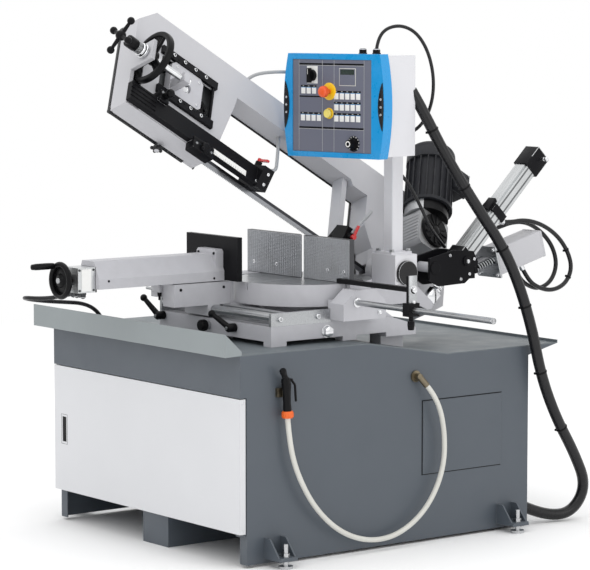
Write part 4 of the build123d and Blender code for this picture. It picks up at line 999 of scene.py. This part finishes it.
def makePanel(d):
    bm = startPiece("plateGrey")
    addBox(bm, *d["plate"], 0.4, 1)
    face, line, bar = d["face"], d["face"] + d["lineProud"], d["face"] + d["barProud"]
    low, high = d["lineEnds"]
    for a in d["lines"]:
        addBox(bm, (a, low, face), (a + d["lineWide"], high, line), finish="paleHose")
    first, last = d["barLine"]
    for b in d["bars"]:
        for left, right in d["barRuns"]:
            addBox(bm, (left, b, face), (right, b + d["barWide"], bar), finish="blackPlastic")
        foot = b - d["barLineDrop"]
        addBox(bm, (first, foot, face), (last, foot + d["lineWide"], line), finish="paleHose")
    addBox(bm, *d["shortBar"], finish="blackPlastic")
    for a, b, count in d["keyRows"]:
        places = [Vector((a + d["keyPitch"] * step, b, 0)) for step in range(count)]
        addBox(bm, places[0] + d["stripLow"], places[-1] + d["stripHigh"], 0.3, 1, "blackPlastic")
        for place in places:
            addBox(bm, place + d["keyLow"], place + d["keyHigh"], 1.2, 2, "whiteFilm")
            addBox(bm, place + d["signLow"], place + d["signHigh"], finish="paleHose")
    # Display with its bezel
    addBox(bm, *d["bezel"], 0.5, 1, "paleHose")
    addBox(bm, *d["inside"], 0.3, 1)
    addBox(bm, *d["glass"], 0.2, 1, "displayGlass")
    finishPiece("panelFace", bm, panelFrame, "swivel")


panelGrips = dict(
    sides=((-1, 0), (1, 406)), middle=177.5, bulge=20, steps=12, thick=2.2, bevel=0.5,
    outerFoot=96, outerLong=163, outerIn=2, innerFoot=99, innerLong=157, innerIn=5,
    lensDeep=21, lensHalf=80, screws=(151, 177, 203), screwIn=13, screwFace=2.0)
panelControls = dict(
    stop=(184, 226), go=(184, 151), selector=(108, 280), speed=(292, 50), foot=-2.6,
    stopRing=[(8.4, 0), (30, 0), (30, 1.4), (28, 2.4), (8.4, 2.4)],
    goRing=[(8.4, 0), (19, 0), (19, 2), (17, 4), (8.4, 4)],
    legend=((84, 252, -2.6), (132, 312, -1.51)),
    dial=[(4.4, 0), (27, 0), (27, 0.7), (4.4, 0.7)], dots=11, dotStep=27, dotRing=23.5, dotRadius=2,
    dotEnds=(-2, -1.6),
    stopShape=[(0, 40), (12, 40), (18, 37), (20, 31), (20, 24), (17, 20), (11, 17), (11, 8), (7.9, 8),
               (7.9, -20), (0, -20)],
    goShape=[(0, 11), (10, 11), (14, 12), (15, 11), (15, 5), (7.9, 5), (7.9, -20), (0, -20)],
    selectorShape=[(0, 8), (17, 8), (20, 5), (20, -2.6), (5.9, -2.6), (5.9, -20), (0, -20)],
    selectorBar=((101.5, 254.5, 7), (114.5, 305.5, 24)),
    selectorMark=((107.2, 284, 23.9), (108.8, 303, 24.15)),
    speedShape=[(0, 29), (12, 29), (13.5, 27), (15, 3), (17, 1), (17, -2.6), (3.9, -2.6), (3.9, -20),
                (0, -20)],
    speedTop=29, speedRing=[(6.5, 0.3), (10.5, 0.3), (10.5, 0), (6.5, 0)],
    ribs=18, ribFoot=(15, 3), ribTop=(13.4, 27), ribRadius=1.3)


def addPanelGrips(bm, d):
    # Lens-shaped grips on the two bulging sides
    middle, steps = d["middle"], d["steps"]

    def edgeAt(b, inward):
        return d["bulge"] * (1 - ((b - middle) / middle) ** 2) - inward

    for side, edge in d["sides"]:
        outline = []
        for step in range(steps + 1):
            b = d["outerFoot"] + d["outerLong"] * step / steps
            outline.append((edge + side * edgeAt(b, d["outerIn"]), b))
        for step in range(steps, -1, -1):
            b = d["innerFoot"] + d["innerLong"] * step / steps
            lens = d["lensDeep"] * (1 - ((b - middle) / d["lensHalf"]) ** 2)
            outline.append((edge + side * edgeAt(b, d["innerIn"] + max(lens, 0)), b))
        addPlate(bm, outline, 0, d["thick"], d["bevel"])
        screws = [(edge + side * edgeAt(b, d["screwIn"]), b, d["screwFace"]) for b in d["screws"]]
        addScrews(bm, screws, plusZ, radius=4, height=1.6, finish="chrome")


def makePanelTrim(d, grips):
    bm = startPiece("blackRubber")
    addPanelGrips(bm, grips)
    # Rings and legend plates under the controls
    addLathe(bm, d["stopRing"], (*d["stop"], d["foot"]), plusZ, 40, "yellowPlastic")
    addLathe(bm, d["goRing"], (*d["go"], d["foot"]), plusZ, 36, "yellowPlastic")
    addBox(bm, *d["legend"], 0.3, 1, "whiteFilm")
    addLathe(bm, d["dial"], (*d["speed"], d["foot"]), plusZ, 36, "blackPlastic")
    a, b = d["speed"]
    for step in range(d["dots"]):
        turn = math.radians(d["dotStep"] * (step - (d["dots"] - 1) / 2))
        x, y = a + d["dotRing"] * math.sin(turn), b + d["dotRing"] * math.cos(turn)
        addRod(bm, *[(x, y, height) for height in d["dotEnds"]], d["dotRadius"], 10, finish="whiteFilm")
    finishPiece("panelTrim", bm, panelFrame, "swivel")


def makePanelKnobs(d):
    bm = startPiece("stopRed")
    addLathe(bm, d["stopShape"], (*d["stop"], 0), plusZ, 40)
    finishPiece("stopMushroom", bm, panelFrame, "stop_button", "emergency_stop")
    bm = startPiece("lampYellow")
    addLathe(bm, d["goShape"], (*d["go"], 0), plusZ, 36)
    finishPiece("goCap", bm, panelFrame, "go_button", "start_button")
    bm = startPiece("blackPlastic")
    addLathe(bm, d["selectorShape"], (*d["selector"], 0), plusZ, 36)
    addBox(bm, *d["selectorBar"], 3, 3)
    addBox(bm, *d["selectorMark"], finish="whiteFilm")
    finishPiece("selectorGrip", bm, panelFrame, "selector", "mode_selector")
    bm = startPiece("blackPlastic")
    a, b = d["speed"]
    addLathe(bm, d["speedShape"], (a, b, 0), plusZ, 36)
    for x, y in around(d["ribs"], 1):
        ends = [(a + ring * x, b + ring * y, height) for ring, height in (d["ribFoot"], d["ribTop"])]
        addRod(bm, *ends, d["ribRadius"], 6)
    addLathe(bm, d["speedRing"], (a, b, d["speedTop"]), plusZ, 30, "whiteFilm")
    finishPiece("speedGrip", bm, panelFrame, "speed", "speed_knob")


# Swivel and rear linkage
pivotDetail = dict(
    cap=(391.9, 198, 916), capShape=[(0, 14), (30, 14), (40, 13), (43, 10), (43, 0), (0, 0)],
    postBolts=[(x, y, 988) for x in (284, 358) for y in (161, 235)],
    sideScrews=[(392, 160, 892), (392, 236, 892)], postFoot=((261.5, 149.5, 977.5), (392.5, 246.5, 980)),
    glands=[(236, 349, -120), (296, 349, -120)], glandNut=8, glandNutRadius=15,
    gland=[(0, 0), (13, 0), (13, 10), (9, 15), (0, 15)],
    boxScrews=[(a, b, -195.2) for a in (130, 392) for b in (20, 335)])


def makePivotDetail(d):
    bm = startPiece("blackRubber")
    addLathe(bm, d["capShape"], d["cap"], plusX, 48)
    finishPiece("pivotCap", bm, floorFrame, "swivel")
    bm = startPiece("groundSteel")
    addHexBolts(bm, d["postBolts"], plusZ, flats=15, height=8)
    addScrews(bm, d["sideScrews"], plusX, radius=6, height=4)
    addBox(bm, *d["postFoot"], 1, finish="creamPaint")
    finishPiece("postBolts", bm, floorFrame, "swivel")
    # Glands and lid screws of the control box
    bm = startPiece("blackPlastic")
    for foot in d["glands"]:
        top = Vector(foot) + plusY * d["glandNut"]
        addRod(bm, foot, top, d["glandNutRadius"], 6, 0.8)
        addLathe(bm, d["gland"], top, plusY, 24)
    addScrews(bm, d["boxScrews"], -plusZ, radius=5, height=2.2, finish="chrome")
    finishPiece("boxGlands", bm, panelFrame, "swivel")


gearDetail = dict(
    centre=(139, 190), lidFoot=172.3, capFoot=183, ribHeight=184, ribs=12, ribNear=20, ribFar=57, ribRadius=5,
    lid=[(0, 12), (16, 12), (20, 9), (54, 12), (62.5, 8), (62.5, 0), (0, 0)],
    cap=[(0, 10), (12, 10), (17, 7), (17, 0), (0, 0)],
    face=(145, 190, 56), faceBolts=8, faceRing=96, faceTurn=22.5, flange=(145, 300, 128), flangeBolts=6,
    flangeRing=72)


def makeGearDetail(d):
    bm = startPiece("blackPlastic")
    s, t = d["centre"]
    addLathe(bm, d["lid"], (s, t, d["lidFoot"]), plusZ, 48)
    for x, y in around(d["ribs"], 1):
        ends = [(s + ring * x, t + ring * y, d["ribHeight"]) for ring in (d["ribNear"], d["ribFar"])]
        addRod(bm, *ends, d["ribRadius"], 10)
    addLathe(bm, d["cap"], (s, t, d["capFoot"]), plusZ, 28)
    finishPiece("gearLid", bm, bowFrame, "bow")
    bm = startPiece("groundSteel")
    s, t, m = d["face"]
    ring = around(d["faceBolts"], d["faceRing"], d["faceTurn"])
    addHexBolts(bm, [(s + x, t + y, m) for x, y in ring], plusZ, flats=13, height=7)
    s, t, m = d["flange"]
    ring = around(d["flangeBolts"], d["flangeRing"])
    addHexBolts(bm, [(s + x, t, m + y) for x, y in ring], -plusY, flats=11, height=6)
    finishPiece("gearBolts", bm, bowFrame, "bow")


motorCowl = dict(
    cowl=(145, 492, 132),
    cowlShape=[(0, 72), (40, 71), (70, 66), (84, 54), (89, 40), (89, 0), (84, -2), (60, -2)],
    flange=(145, 299, 132), flangeShape=[(79, 0), (89.5, 0), (89.5, 12), (84, 15), (79, 15)],
    box=((184, 393, 150), (259, 482, 226)), lidEdge=((182, 391, 196), (261, 484, 204)),
    screws=[(s, t, 226) for s in (192, 251) for t in (401, 474)])


def makeMotorDetail(d):
    bm = startPiece("motorPaint")
    addLathe(bm, d["cowlShape"], d["cowl"], plusY, 56)
    addLathe(bm, d["flangeShape"], d["flange"], plusY, 48)
    addBox(bm, *d["box"], 6, 3)
    addBox(bm, *d["lidEdge"], 2)
    addScrews(bm, d["screws"], plusZ, radius=4, height=2.5, finish="groundSteel")
    finishPiece("motorCowl", bm, bowFrame, "bow")


# Heights of the lift's pieces count from the trunnion
liftDetail = dict(
    blocks=[(35.4, -40.4, 40.4, 3), (34.4, 214, 246, 1.5), (35.4, 440, 525.4, 3)],
    screws=[(x, y, 525) for x in (-26, 26) for y in (-26, 26)],
    valve=(35, 8, 505), valveNut=(0, 12), nutRadius=8, valveNeck=(11, 21), neckRadius=6, valveBall=22,
    ballRadius=8, port=((-16, -46, 210), (22, -33, 262)),
    grooveSides=(-31.2, 31.2), grooveRows=(-14, 12), grooveRuns=((41, 214), (246, 477)),
    grooveDeep=0.5, grooveHalf=3)


def makeLiftDetail(d):
    trunnion = plusZ * liftRun.length
    bm = startPiece("blackSteel")
    for half, low, high, bevel in d["blocks"]:
        addBox(bm, trunnion + Vector((-half, -half, low)), trunnion + Vector((half, half, high)), bevel)
    screws = [trunnion + Vector(place) for place in d["screws"]]
    addScrews(bm, screws, plusZ, radius=5, height=2.5, finish="chrome")
    valve = trunnion + Vector(d["valve"])
    addRod(bm, *[valve + plusX * out for out in d["valveNut"]], d["nutRadius"], 6, 0.6, "chrome")
    addRod(bm, *[valve + plusX * out for out in d["valveNeck"]], d["neckRadius"], 18, 1, "chrome")
    addBall(bm, valve + plusX * d["valveBall"], d["ballRadius"], finish="chrome")
    # Port block for the two hoses
    addBox(bm, *[trunnion + Vector(corner) for corner in d["port"]], 2)
    finishPiece("liftCaps", bm, liftFrame, "lift_barrel")
    # Grooves: darker grey strips painted as the shade in the barrel's grooves
    bm = startPiece("greyShade")
    deep, half = d["grooveDeep"], d["grooveHalf"]
    for x in d["grooveSides"]:
        for y in d["grooveRows"]:
            for low, high in d["grooveRuns"]:
                corners = Vector((x - deep, y - half, low)), Vector((x + deep, y + half, high))
                addBox(bm, *[trunnion + corner for corner in corners], 0.3, 1)
    finishPiece("liftGrooves", bm, liftFrame, "lift_barrel")


rodThread = dict(
    foot=68, threads=46, pitch=2, root=11.2, crest=12.3, nuts=((66, 80, 18), (82, 92, 16)),
    clevis=((-13, -22.5, 20), (13, 22.5, 66.5)))


def makeRodDetail(d):
    bm = startPiece("chrome")
    length = d["pitch"] * d["threads"]
    profile = [(0, 0)]
    for step in range(d["threads"]):
        profile += [(d["root"], d["pitch"] * step), (d["crest"], d["pitch"] * (step + 0.5))]
    profile += [(d["root"], length), (0, length)]
    addLathe(bm, profile, (0, 0, d["foot"]), plusZ, 24)
    for low, high, radius in d["nuts"]:
        addRod(bm, (0, 0, low), (0, 0, high), radius, 6, 1)
    addBox(bm, *d["clevis"], 3)
    finishPiece("rodThread", bm, liftFrame, "lift_piston")


leverDetail = dict(
    sides=((321, -plusX), (413, plusX)),
    trunnion=(458, 944), trunnionCap=[(0, 0), (17, 0), (17, 5), (14, 7), (0, 7)],
    pinOut=7, pin=[(0, 0), (7, 0), (7, 3), (0, 4)],
    pivot=(312, 928), pivotCap=[(0, 0), (21, 0), (21, 4), (0, 4)],
    screws=[(430, 882), (470, 898), (380, 968), (492, 950)])


def makeLeverDetail(d):
    bm = startPiece("chrome")
    for x, out in d["sides"]:
        trunnion = Vector((x, *d["trunnion"]))
        addLathe(bm, d["trunnionCap"], trunnion, out, 30, "blackSteel")
        addLathe(bm, d["pin"], trunnion + out * d["pinOut"], out, 20)
        addLathe(bm, d["pivotCap"], (x, *d["pivot"]), out, 30, "blackSteel")
        addScrews(bm, [(x, y, z) for y, z in d["screws"]], out, radius=6, height=4.5)
    finishPiece("leverBolts", bm, floorFrame, "bow")


tailDetail = dict(
    rods=[((x, -8, 4), (x, -8, 91.6)) for x in (-34, 34)], rodRadius=7.2,
    plate=((-60.6, -60.6, 91.4), (60.6, 55.6, 99.8)),
    bolts=[(x, y, 91.4) for x in (-50, 50) for y in (-50, 44)],
    lid=((-48.8, -46.8, 318), (48.8, 50.8, 331)), box=((-48.6, -46.6, 100), (48.6, 50.6, 318)))


def makeTailDetail(d):
    bm = startPiece("blackSteel")
    for start, end in d["rods"]:
        addRod(bm, start, end, d["rodRadius"], 20, 0.5)
    addBox(bm, *d["plate"], 1.2, finish="groundSteel")
    addHexBolts(bm, d["bolts"], -plusZ, flats=11, height=6, finish="chrome")
    addBox(bm, *d["lid"], 5, 3, "bodyPaint")
    addBox(bm, *d["box"], 7, 3, "bodyPaint")
    finishPiece("tailDetail", bm, tailFrame, "bow")


springs = dict(radius=12, wire=2.6, turns=7, turnSteps=40, length=81, places=((34, -8, 8), (-34, -8, 8)))


def makeSprings(d):
    bm = startPiece("groundSteel")
    count = d["turnSteps"] * d["turns"]
    standing = Matrix.Rotation(math.pi / 2, 4, "X")
    for place in d["places"]:
        before = set(bm.faces)
        ring = bmesh.ops.create_circle(bm, segments=12, radius=d["wire"], matrix=standing)["verts"]
        bmesh.ops.translate(bm, vec=Vector(place) + plusX * d["radius"], verts=ring)
        edges = list({edge for vert in ring for edge in vert.link_edges})
        made = bmesh.ops.spin(bm, geom=ring + edges, cent=place, axis=(0, 0, 1),
                              angle=2 * math.pi * d["turns"], steps=count,
                              dvec=(0, 0, d["length"] / count), use_merge=False)
        lastEdges = [item for item in made["geom_last"] if isinstance(item, bmesh.types.BMEdge)]
        for end in (edges, lastEdges):
            bmesh.ops.contextual_create(bm, geom=end)
        newFaces(bm, before, None)
    bmesh.ops.remove_doubles(bm, verts=bm.verts, dist=0.001)
    finishPiece("leverSprings", bm, tailFrame, "bow", "lever_springs")


stopDetail = dict(
    strap=((815, -144, 862), (820, -110, 959)), bolt=(820, -127, 912), smallBolt=(820, -127, 872),
    washer=[(0, 0), (15, 0), (15, 2.5), (0, 2.5)], foot=((809, -127, 796), (809, -127, 778)),
    footTop=12.5, footSole=10,
    rodEnd=(1219, -127, 845), rodEndShape=[(0, 0), (8, 0), (10.2, -2), (10.2, -6), (9.9, -6)],
    blockBolt=(525, -30, 806), collar=(525, -127, 845),
    collarShape=[(10.3, 0), (17, 0), (17, 5), (14, 7), (10.3, 7)])


def makeStopDetail(d):
    bm = startPiece("groundSteel")
    addBox(bm, *d["strap"], 1.5)
    addHexBolts(bm, [d["bolt"]], plusX, flats=18, height=9, finish="chrome")
    addLathe(bm, d["washer"], d["bolt"], plusX, 28, "chrome")
    addHexBolts(bm, [d["smallBolt"]], plusX, flats=10, height=5, finish="chrome")
    addRod(bm, *d["foot"], d["footTop"], 20, 2, "blackPlastic", d["footSole"])
    finishPiece("stopStrap", bm, floorFrame, "stop")
    bm = startPiece("chrome")
    addLathe(bm, d["rodEndShape"], d["rodEnd"], plusX, 28)
    addHexBolts(bm, [d["blockBolt"]], plusX, flats=13, height=6)
    addLathe(bm, d["collarShape"], d["collar"], plusX, 30)
    finishPiece("stopRodEnd", bm, floorFrame, "base")


# Base: bolts, seams, door handle and coolant gun
baseDetail = dict(
    bedScrews=[(452, -400, 800), (452, -240, 800)], bedBolt=(452, -200, 746), sideScrew=(290, -344, 806),
    seams=[((561.6, 129, 490.4), (562.5, 494, 493.6)), ((561.6, 129, 233.6), (562.5, 491, 236.6)),
           ((561.6, 129, 233.6), (562.5, 132.6, 493.6))],
    pull=((-517, -645.6, 283), (-477, -643, 391)), pullRim=6, pullDeep=13)


def makeBaseDetail(d):
    bm = startPiece("chrome")
    addScrews(bm, d["bedScrews"], plusX, radius=9.5, height=10)
    addHexBolts(bm, [d["bedBolt"]], plusX, flats=33, height=15)
    addScrews(bm, [d["sideScrew"]], -plusY, radius=5, height=2, finish="blackSteel")
    finishPiece("bedBolts", bm, floorFrame, "base")
    bm = startPiece("darkSeam")
    for low, high in d["seams"]:
        addBox(bm, low, high)
    finishPiece("accessSeam", bm, floorFrame, "base")
    # The pull's front face is set in and pushed back
    bm = startPiece("blackPlastic")
    addBox(bm, *d["pull"], 1.2)
    front = max(bm.faces, key=lambda face: -face.normal.y * face.calc_area())
    bmesh.ops.inset_region(bm, faces=[front], thickness=d["pullRim"])
    bmesh.ops.translate(bm, vec=plusY * d["pullDeep"], verts=front.verts)
    finishPiece("doorPull", bm, floorFrame, "door")


backCover = dict(
    left=-300, right=300, low=170, high=520, gap=0.1, proud=2.5, face=620, slats=7, slatStep=26, slatHalf=190,
    slatLow=Vector((0, -0.5, -3)), slatHigh=Vector((0, 7, 9)), slitLow=Vector((4, -0.4, -7)),
    slitHigh=Vector((-4, 0.3, -3)), screwIn=16)


def makeBackDetail(d):
    bm = startPiece("cabinetPaint")
    face, inward = d["face"] + d["proud"], d["screwIn"]
    addBox(bm, (d["left"], d["face"] + d["gap"], d["low"]), (d["right"], face, d["high"]), 1)
    middle = (d["low"] + d["high"]) / 2
    for step in range(d["slats"]):
        z = middle + d["slatStep"] * (step - (d["slats"] - 1) / 2)
        left, right = Vector((-d["slatHalf"], face, z)), Vector((d["slatHalf"], face, z))
        addBox(bm, left + d["slatLow"], right + d["slatHigh"], 3, 3)
        # Painted shade: a dark strip in the slit under each slat
        addBox(bm, left + d["slitLow"], right + d["slitHigh"], finish="darkSeam")
    columns, rows = (d["left"] + inward, 0, d["right"] - inward), (d["low"] + inward, d["high"] - inward)
    screws = [(x, face, z) for x in columns for z in rows]
    addScrews(bm, screws, plusY, radius=6, height=3, finish="groundSteel")
    finishPiece("backCover", bm, floorFrame, "base")


gun = dict(
    grip=(590, -472, 512), shoulder=(591, -478, 615), nozzle=(596, -498, 657),
    gripShape=[(0, 0), (13, 0), (14.5, 8), (13, 30), (14, 62), (16.5, 92), (14, 104), (0, 108)],
    ball=16.4, ballShift=Vector((0, -1, -1)), nozzleShift=Vector((0, 2, -4)),
    nozzleShape=[(0, 0), (13, 0), (13, 12), (10, 18), (10, 34), (11.5, 36), (11.5, 46), (8, 50), (0, 50)],
    collar=(590, -471, 491.5), collarRun=(0, -1, 28.5),
    collarShape=[(9.2, 0), (17, 0), (19.2, 3), (19.2, 20), (17, 23), (10, 23)],
    ribs=14, ribRing=18.9, ribRadius=1.4, ribEnds=(495, 510))


def makeGun(d):
    bm = startPiece("blackPlastic")
    grip, shoulder, nozzle = (Vector(d[key]) for key in ("grip", "shoulder", "nozzle"))
    addLathe(bm, d["gripShape"], grip, shoulder - grip, 28)
    addBall(bm, shoulder + d["ballShift"], d["ball"])
    root = shoulder + d["nozzleShift"]
    addLathe(bm, d["nozzleShape"], root, nozzle - root, 28)
    addLathe(bm, d["collarShape"], d["collar"], d["collarRun"], 28, "orangePlastic")
    for x, y in around(d["ribs"], d["ribRing"]):
        ends = [(d["collar"][0] + x, d["collar"][1] + y, z) for z in d["ribEnds"]]
        addRod(bm, *ends, d["ribRadius"], 6, finish="orangePlastic")
    finishPiece("gunShell", bm, floorFrame, "base", "coolant_gun")


# Ties lie at shares of the hoses' own lines, and each has a small square head. The band's points are counted
# from the tie's radius
cordTies = dict(
    band=[(-2, 0), (0, 0), (0.8, 1.5), (0.8, 4.5), (0, 6), (-2, 6)], bandHalf=3, headHalf=Vector((4, 4, 4)),
    hoses=dict(
        mainConduit=dict(shares=(0.08, 0.18, 0.30, 0.42, 0.54, 0.66), radius=21.2),
        pressureHose=dict(shares=(0.45, 0.62), radius=9)))


def makeCordTies(d):
    for name, tie in d["hoses"].items():
        bm = startPiece("blackPlastic")
        line = [place / mm for place in cordLines[name]]
        band = [(tie["radius"] + out, height) for out, height in d["band"]]
        for share in tie["shares"]:
            index = int(share * (len(line) - 2))
            run = (line[index + 1] - line[index]).normalized()
            addLathe(bm, band, line[index] - run * d["bandHalf"], run, 28)
            place = line[index] + run.orthogonal().normalized() * tie["radius"]
            addBox(bm, place - d["headHalf"], place + d["headHalf"], 1, 1)
        finishPiece(name + "Ties", bm, floorFrame, cords[name]["body"], span=cordSpans[name])


# A hose end has a nut and a sleeve, on the run from the hose's end point to the one next to it
hoseEnds = dict(
    hoses=("pressureHose", "returnHose"), nut=(0.5, 12), nutRadius=13, sleeve=(12, 36), sleeveRadius=10.4,
    ends=dict(
        liftHoseEnds=dict(points=(0, 1), body="lift_barrel"),
        boxHoseEnds=dict(points=(-1, -2), body="bow")))


def makeHoseEnds(d):
    for name, end in d["ends"].items():
        bm = startPiece("chrome")
        for hose in d["hoses"]:
            start, following = (Vector(cords[hose]["points"][index]) for index in end["points"])
            run = (following - start).normalized()
            addRod(bm, *[start + run * out for out in d["nut"]], d["nutRadius"], 6, 0.8)
            addRod(bm, *[start + run * out for out in d["sleeve"]], d["sleeveRadius"], 20, 1)
        finishPiece(name, bm, floorFrame, end["body"])


makeCoverTrim(coverTrim)
makeBeamTrim(beamTrim)
makeTensionWheel(tensionGear)
makeSlideFace(slideFace)
makeGibScrews(gibScrews)
makeKeeperCaps(keeperCaps)
makeGuideDetail(guideArm)
makeBlade(blade)
print("bow detail made")
makeJawTeeth(jawTeeth)
makeJawScrews(jawScrews)
makeViseWheel(viseWheel)
makeLevers(levers)
makeViseFittings(viseFittings)
makeArmDetail(armDetail)
makeLockKnob(lockKnob)
print("vise detail made")
makePanel(panelFace)
makePanelTrim(panelControls, panelGrips)
makePanelKnobs(panelControls)
print("panel detail made")
makePivotDetail(pivotDetail)
makeGearDetail(gearDetail)
makeMotorDetail(motorCowl)
makeLiftDetail(liftDetail)
makeRodDetail(rodThread)
makeLeverDetail(leverDetail)
makeTailDetail(tailDetail)
makeSprings(springs)
makeStopDetail(stopDetail)
print("linkage detail made")
makeBaseDetail(baseDetail)
makeBackDetail(backCover)
makeGun(gun)
makeCordTies(cordTies)
makeHoseEnds(hoseEnds)
print("base detail made")


# Studio, in metres
studio = dict(
    floorColour=(255, 255, 255), floorRadius=6.4, worldStrength=0.94,
    lamps=dict(
        keyLamp=dict(place=(2.2, -5.4, 4.4), aim=(0.1, -0.2, 0.9), size=3.4, power=34),
        fillLamp=dict(place=(5.6, 1.6, 2.4), aim=(0.2, 0.1, 0.8), size=3.4, power=30),
        leftLamp=dict(place=(-4.8, -3.0, 3.0), aim=(0.0, -0.2, 0.9), size=3.0, power=6),
        topLamp=dict(place=(0.3, 0.2, 5.6), aim=(0.2, 0.0, 0.0), size=6.0, power=90)),
    camera=dict(place=(7.69375, -5.87955, 1.84119), azimuth=52.56, elevation=5.82, lens=167.25, sensor=36))


def linkNew(name, data):
    piece = bpy.data.objects.new(name, data)
    bpy.context.scene.collection.objects.link(piece)
    return piece


def aimAlong(piece, direction):
    piece.rotation_euler = direction.to_track_quat("-Z", "Y").to_euler()


def setFloor(d):
    floor = bmesh.new()
    bmesh.ops.create_circle(floor, cap_ends=True, segments=128, radius=d["floorRadius"])
    mesh = bpy.data.meshes.new("studioFloor")
    floor.to_mesh(mesh)
    floor.free()
    material, _, shader = blankFinish("studioFloor")
    shader["Base Color"].default_value = tone(*d["floorColour"])
    shader["Roughness"].default_value = 0.9
    shader["Specular IOR Level"].default_value = 0.0
    mesh.materials.append(material)
    linkNew("studioFloor", mesh)


def setLight(d):
    for name, lamp in d["lamps"].items():
        light = bpy.data.lights.new(name, "AREA")
        light.size = lamp["size"]
        light.energy = lamp["power"]
        lightPiece = linkNew(name, light)
        lightPiece.location = lamp["place"]
        aimAlong(lightPiece, Vector(lamp["aim"]) - Vector(lamp["place"]))
    # The world is full white where it is seen, also in mirrors and glass, and a little weaker as light
    world = bpy.data.worlds.new("studioWorld")
    bpy.context.scene.world = world
    world.use_nodes = True
    tree = world.node_tree
    background = tree.nodes["Background"].inputs
    background["Color"].default_value = (1, 1, 1, 1)
    rays = tree.nodes.new("ShaderNodeLightPath").outputs
    seen = mathOf(tree, "MAXIMUM", rays["Is Camera Ray"], rays["Is Glossy Ray"], rays["Is Transmission Ray"])
    feed(tree, spread(tree, seen, 0.0, 1.0, d["worldStrength"], 1.0), background["Strength"])


def setCamera(d):
    camera = bpy.data.cameras.new("studioCamera")
    camera.sensor_width = d["sensor"]
    camera.lens = d["lens"]
    camera.clip_end = 200
    cameraPiece = linkNew("studioCamera", camera)
    cameraPiece.location = d["place"]
    azimuth, elevation = math.radians(d["azimuth"]), math.radians(d["elevation"])
    level = Vector((math.sin(azimuth), -math.cos(azimuth), 0))
    aimAlong(cameraPiece, -(level * math.cos(elevation) + plusZ * math.sin(elevation)))
    bpy.context.scene.camera = cameraPiece


setFloor(studio)
setLight(studio)
setCamera(studio["camera"])
bpy.context.scene.view_settings.view_transform = "Standard"
print("studio set")
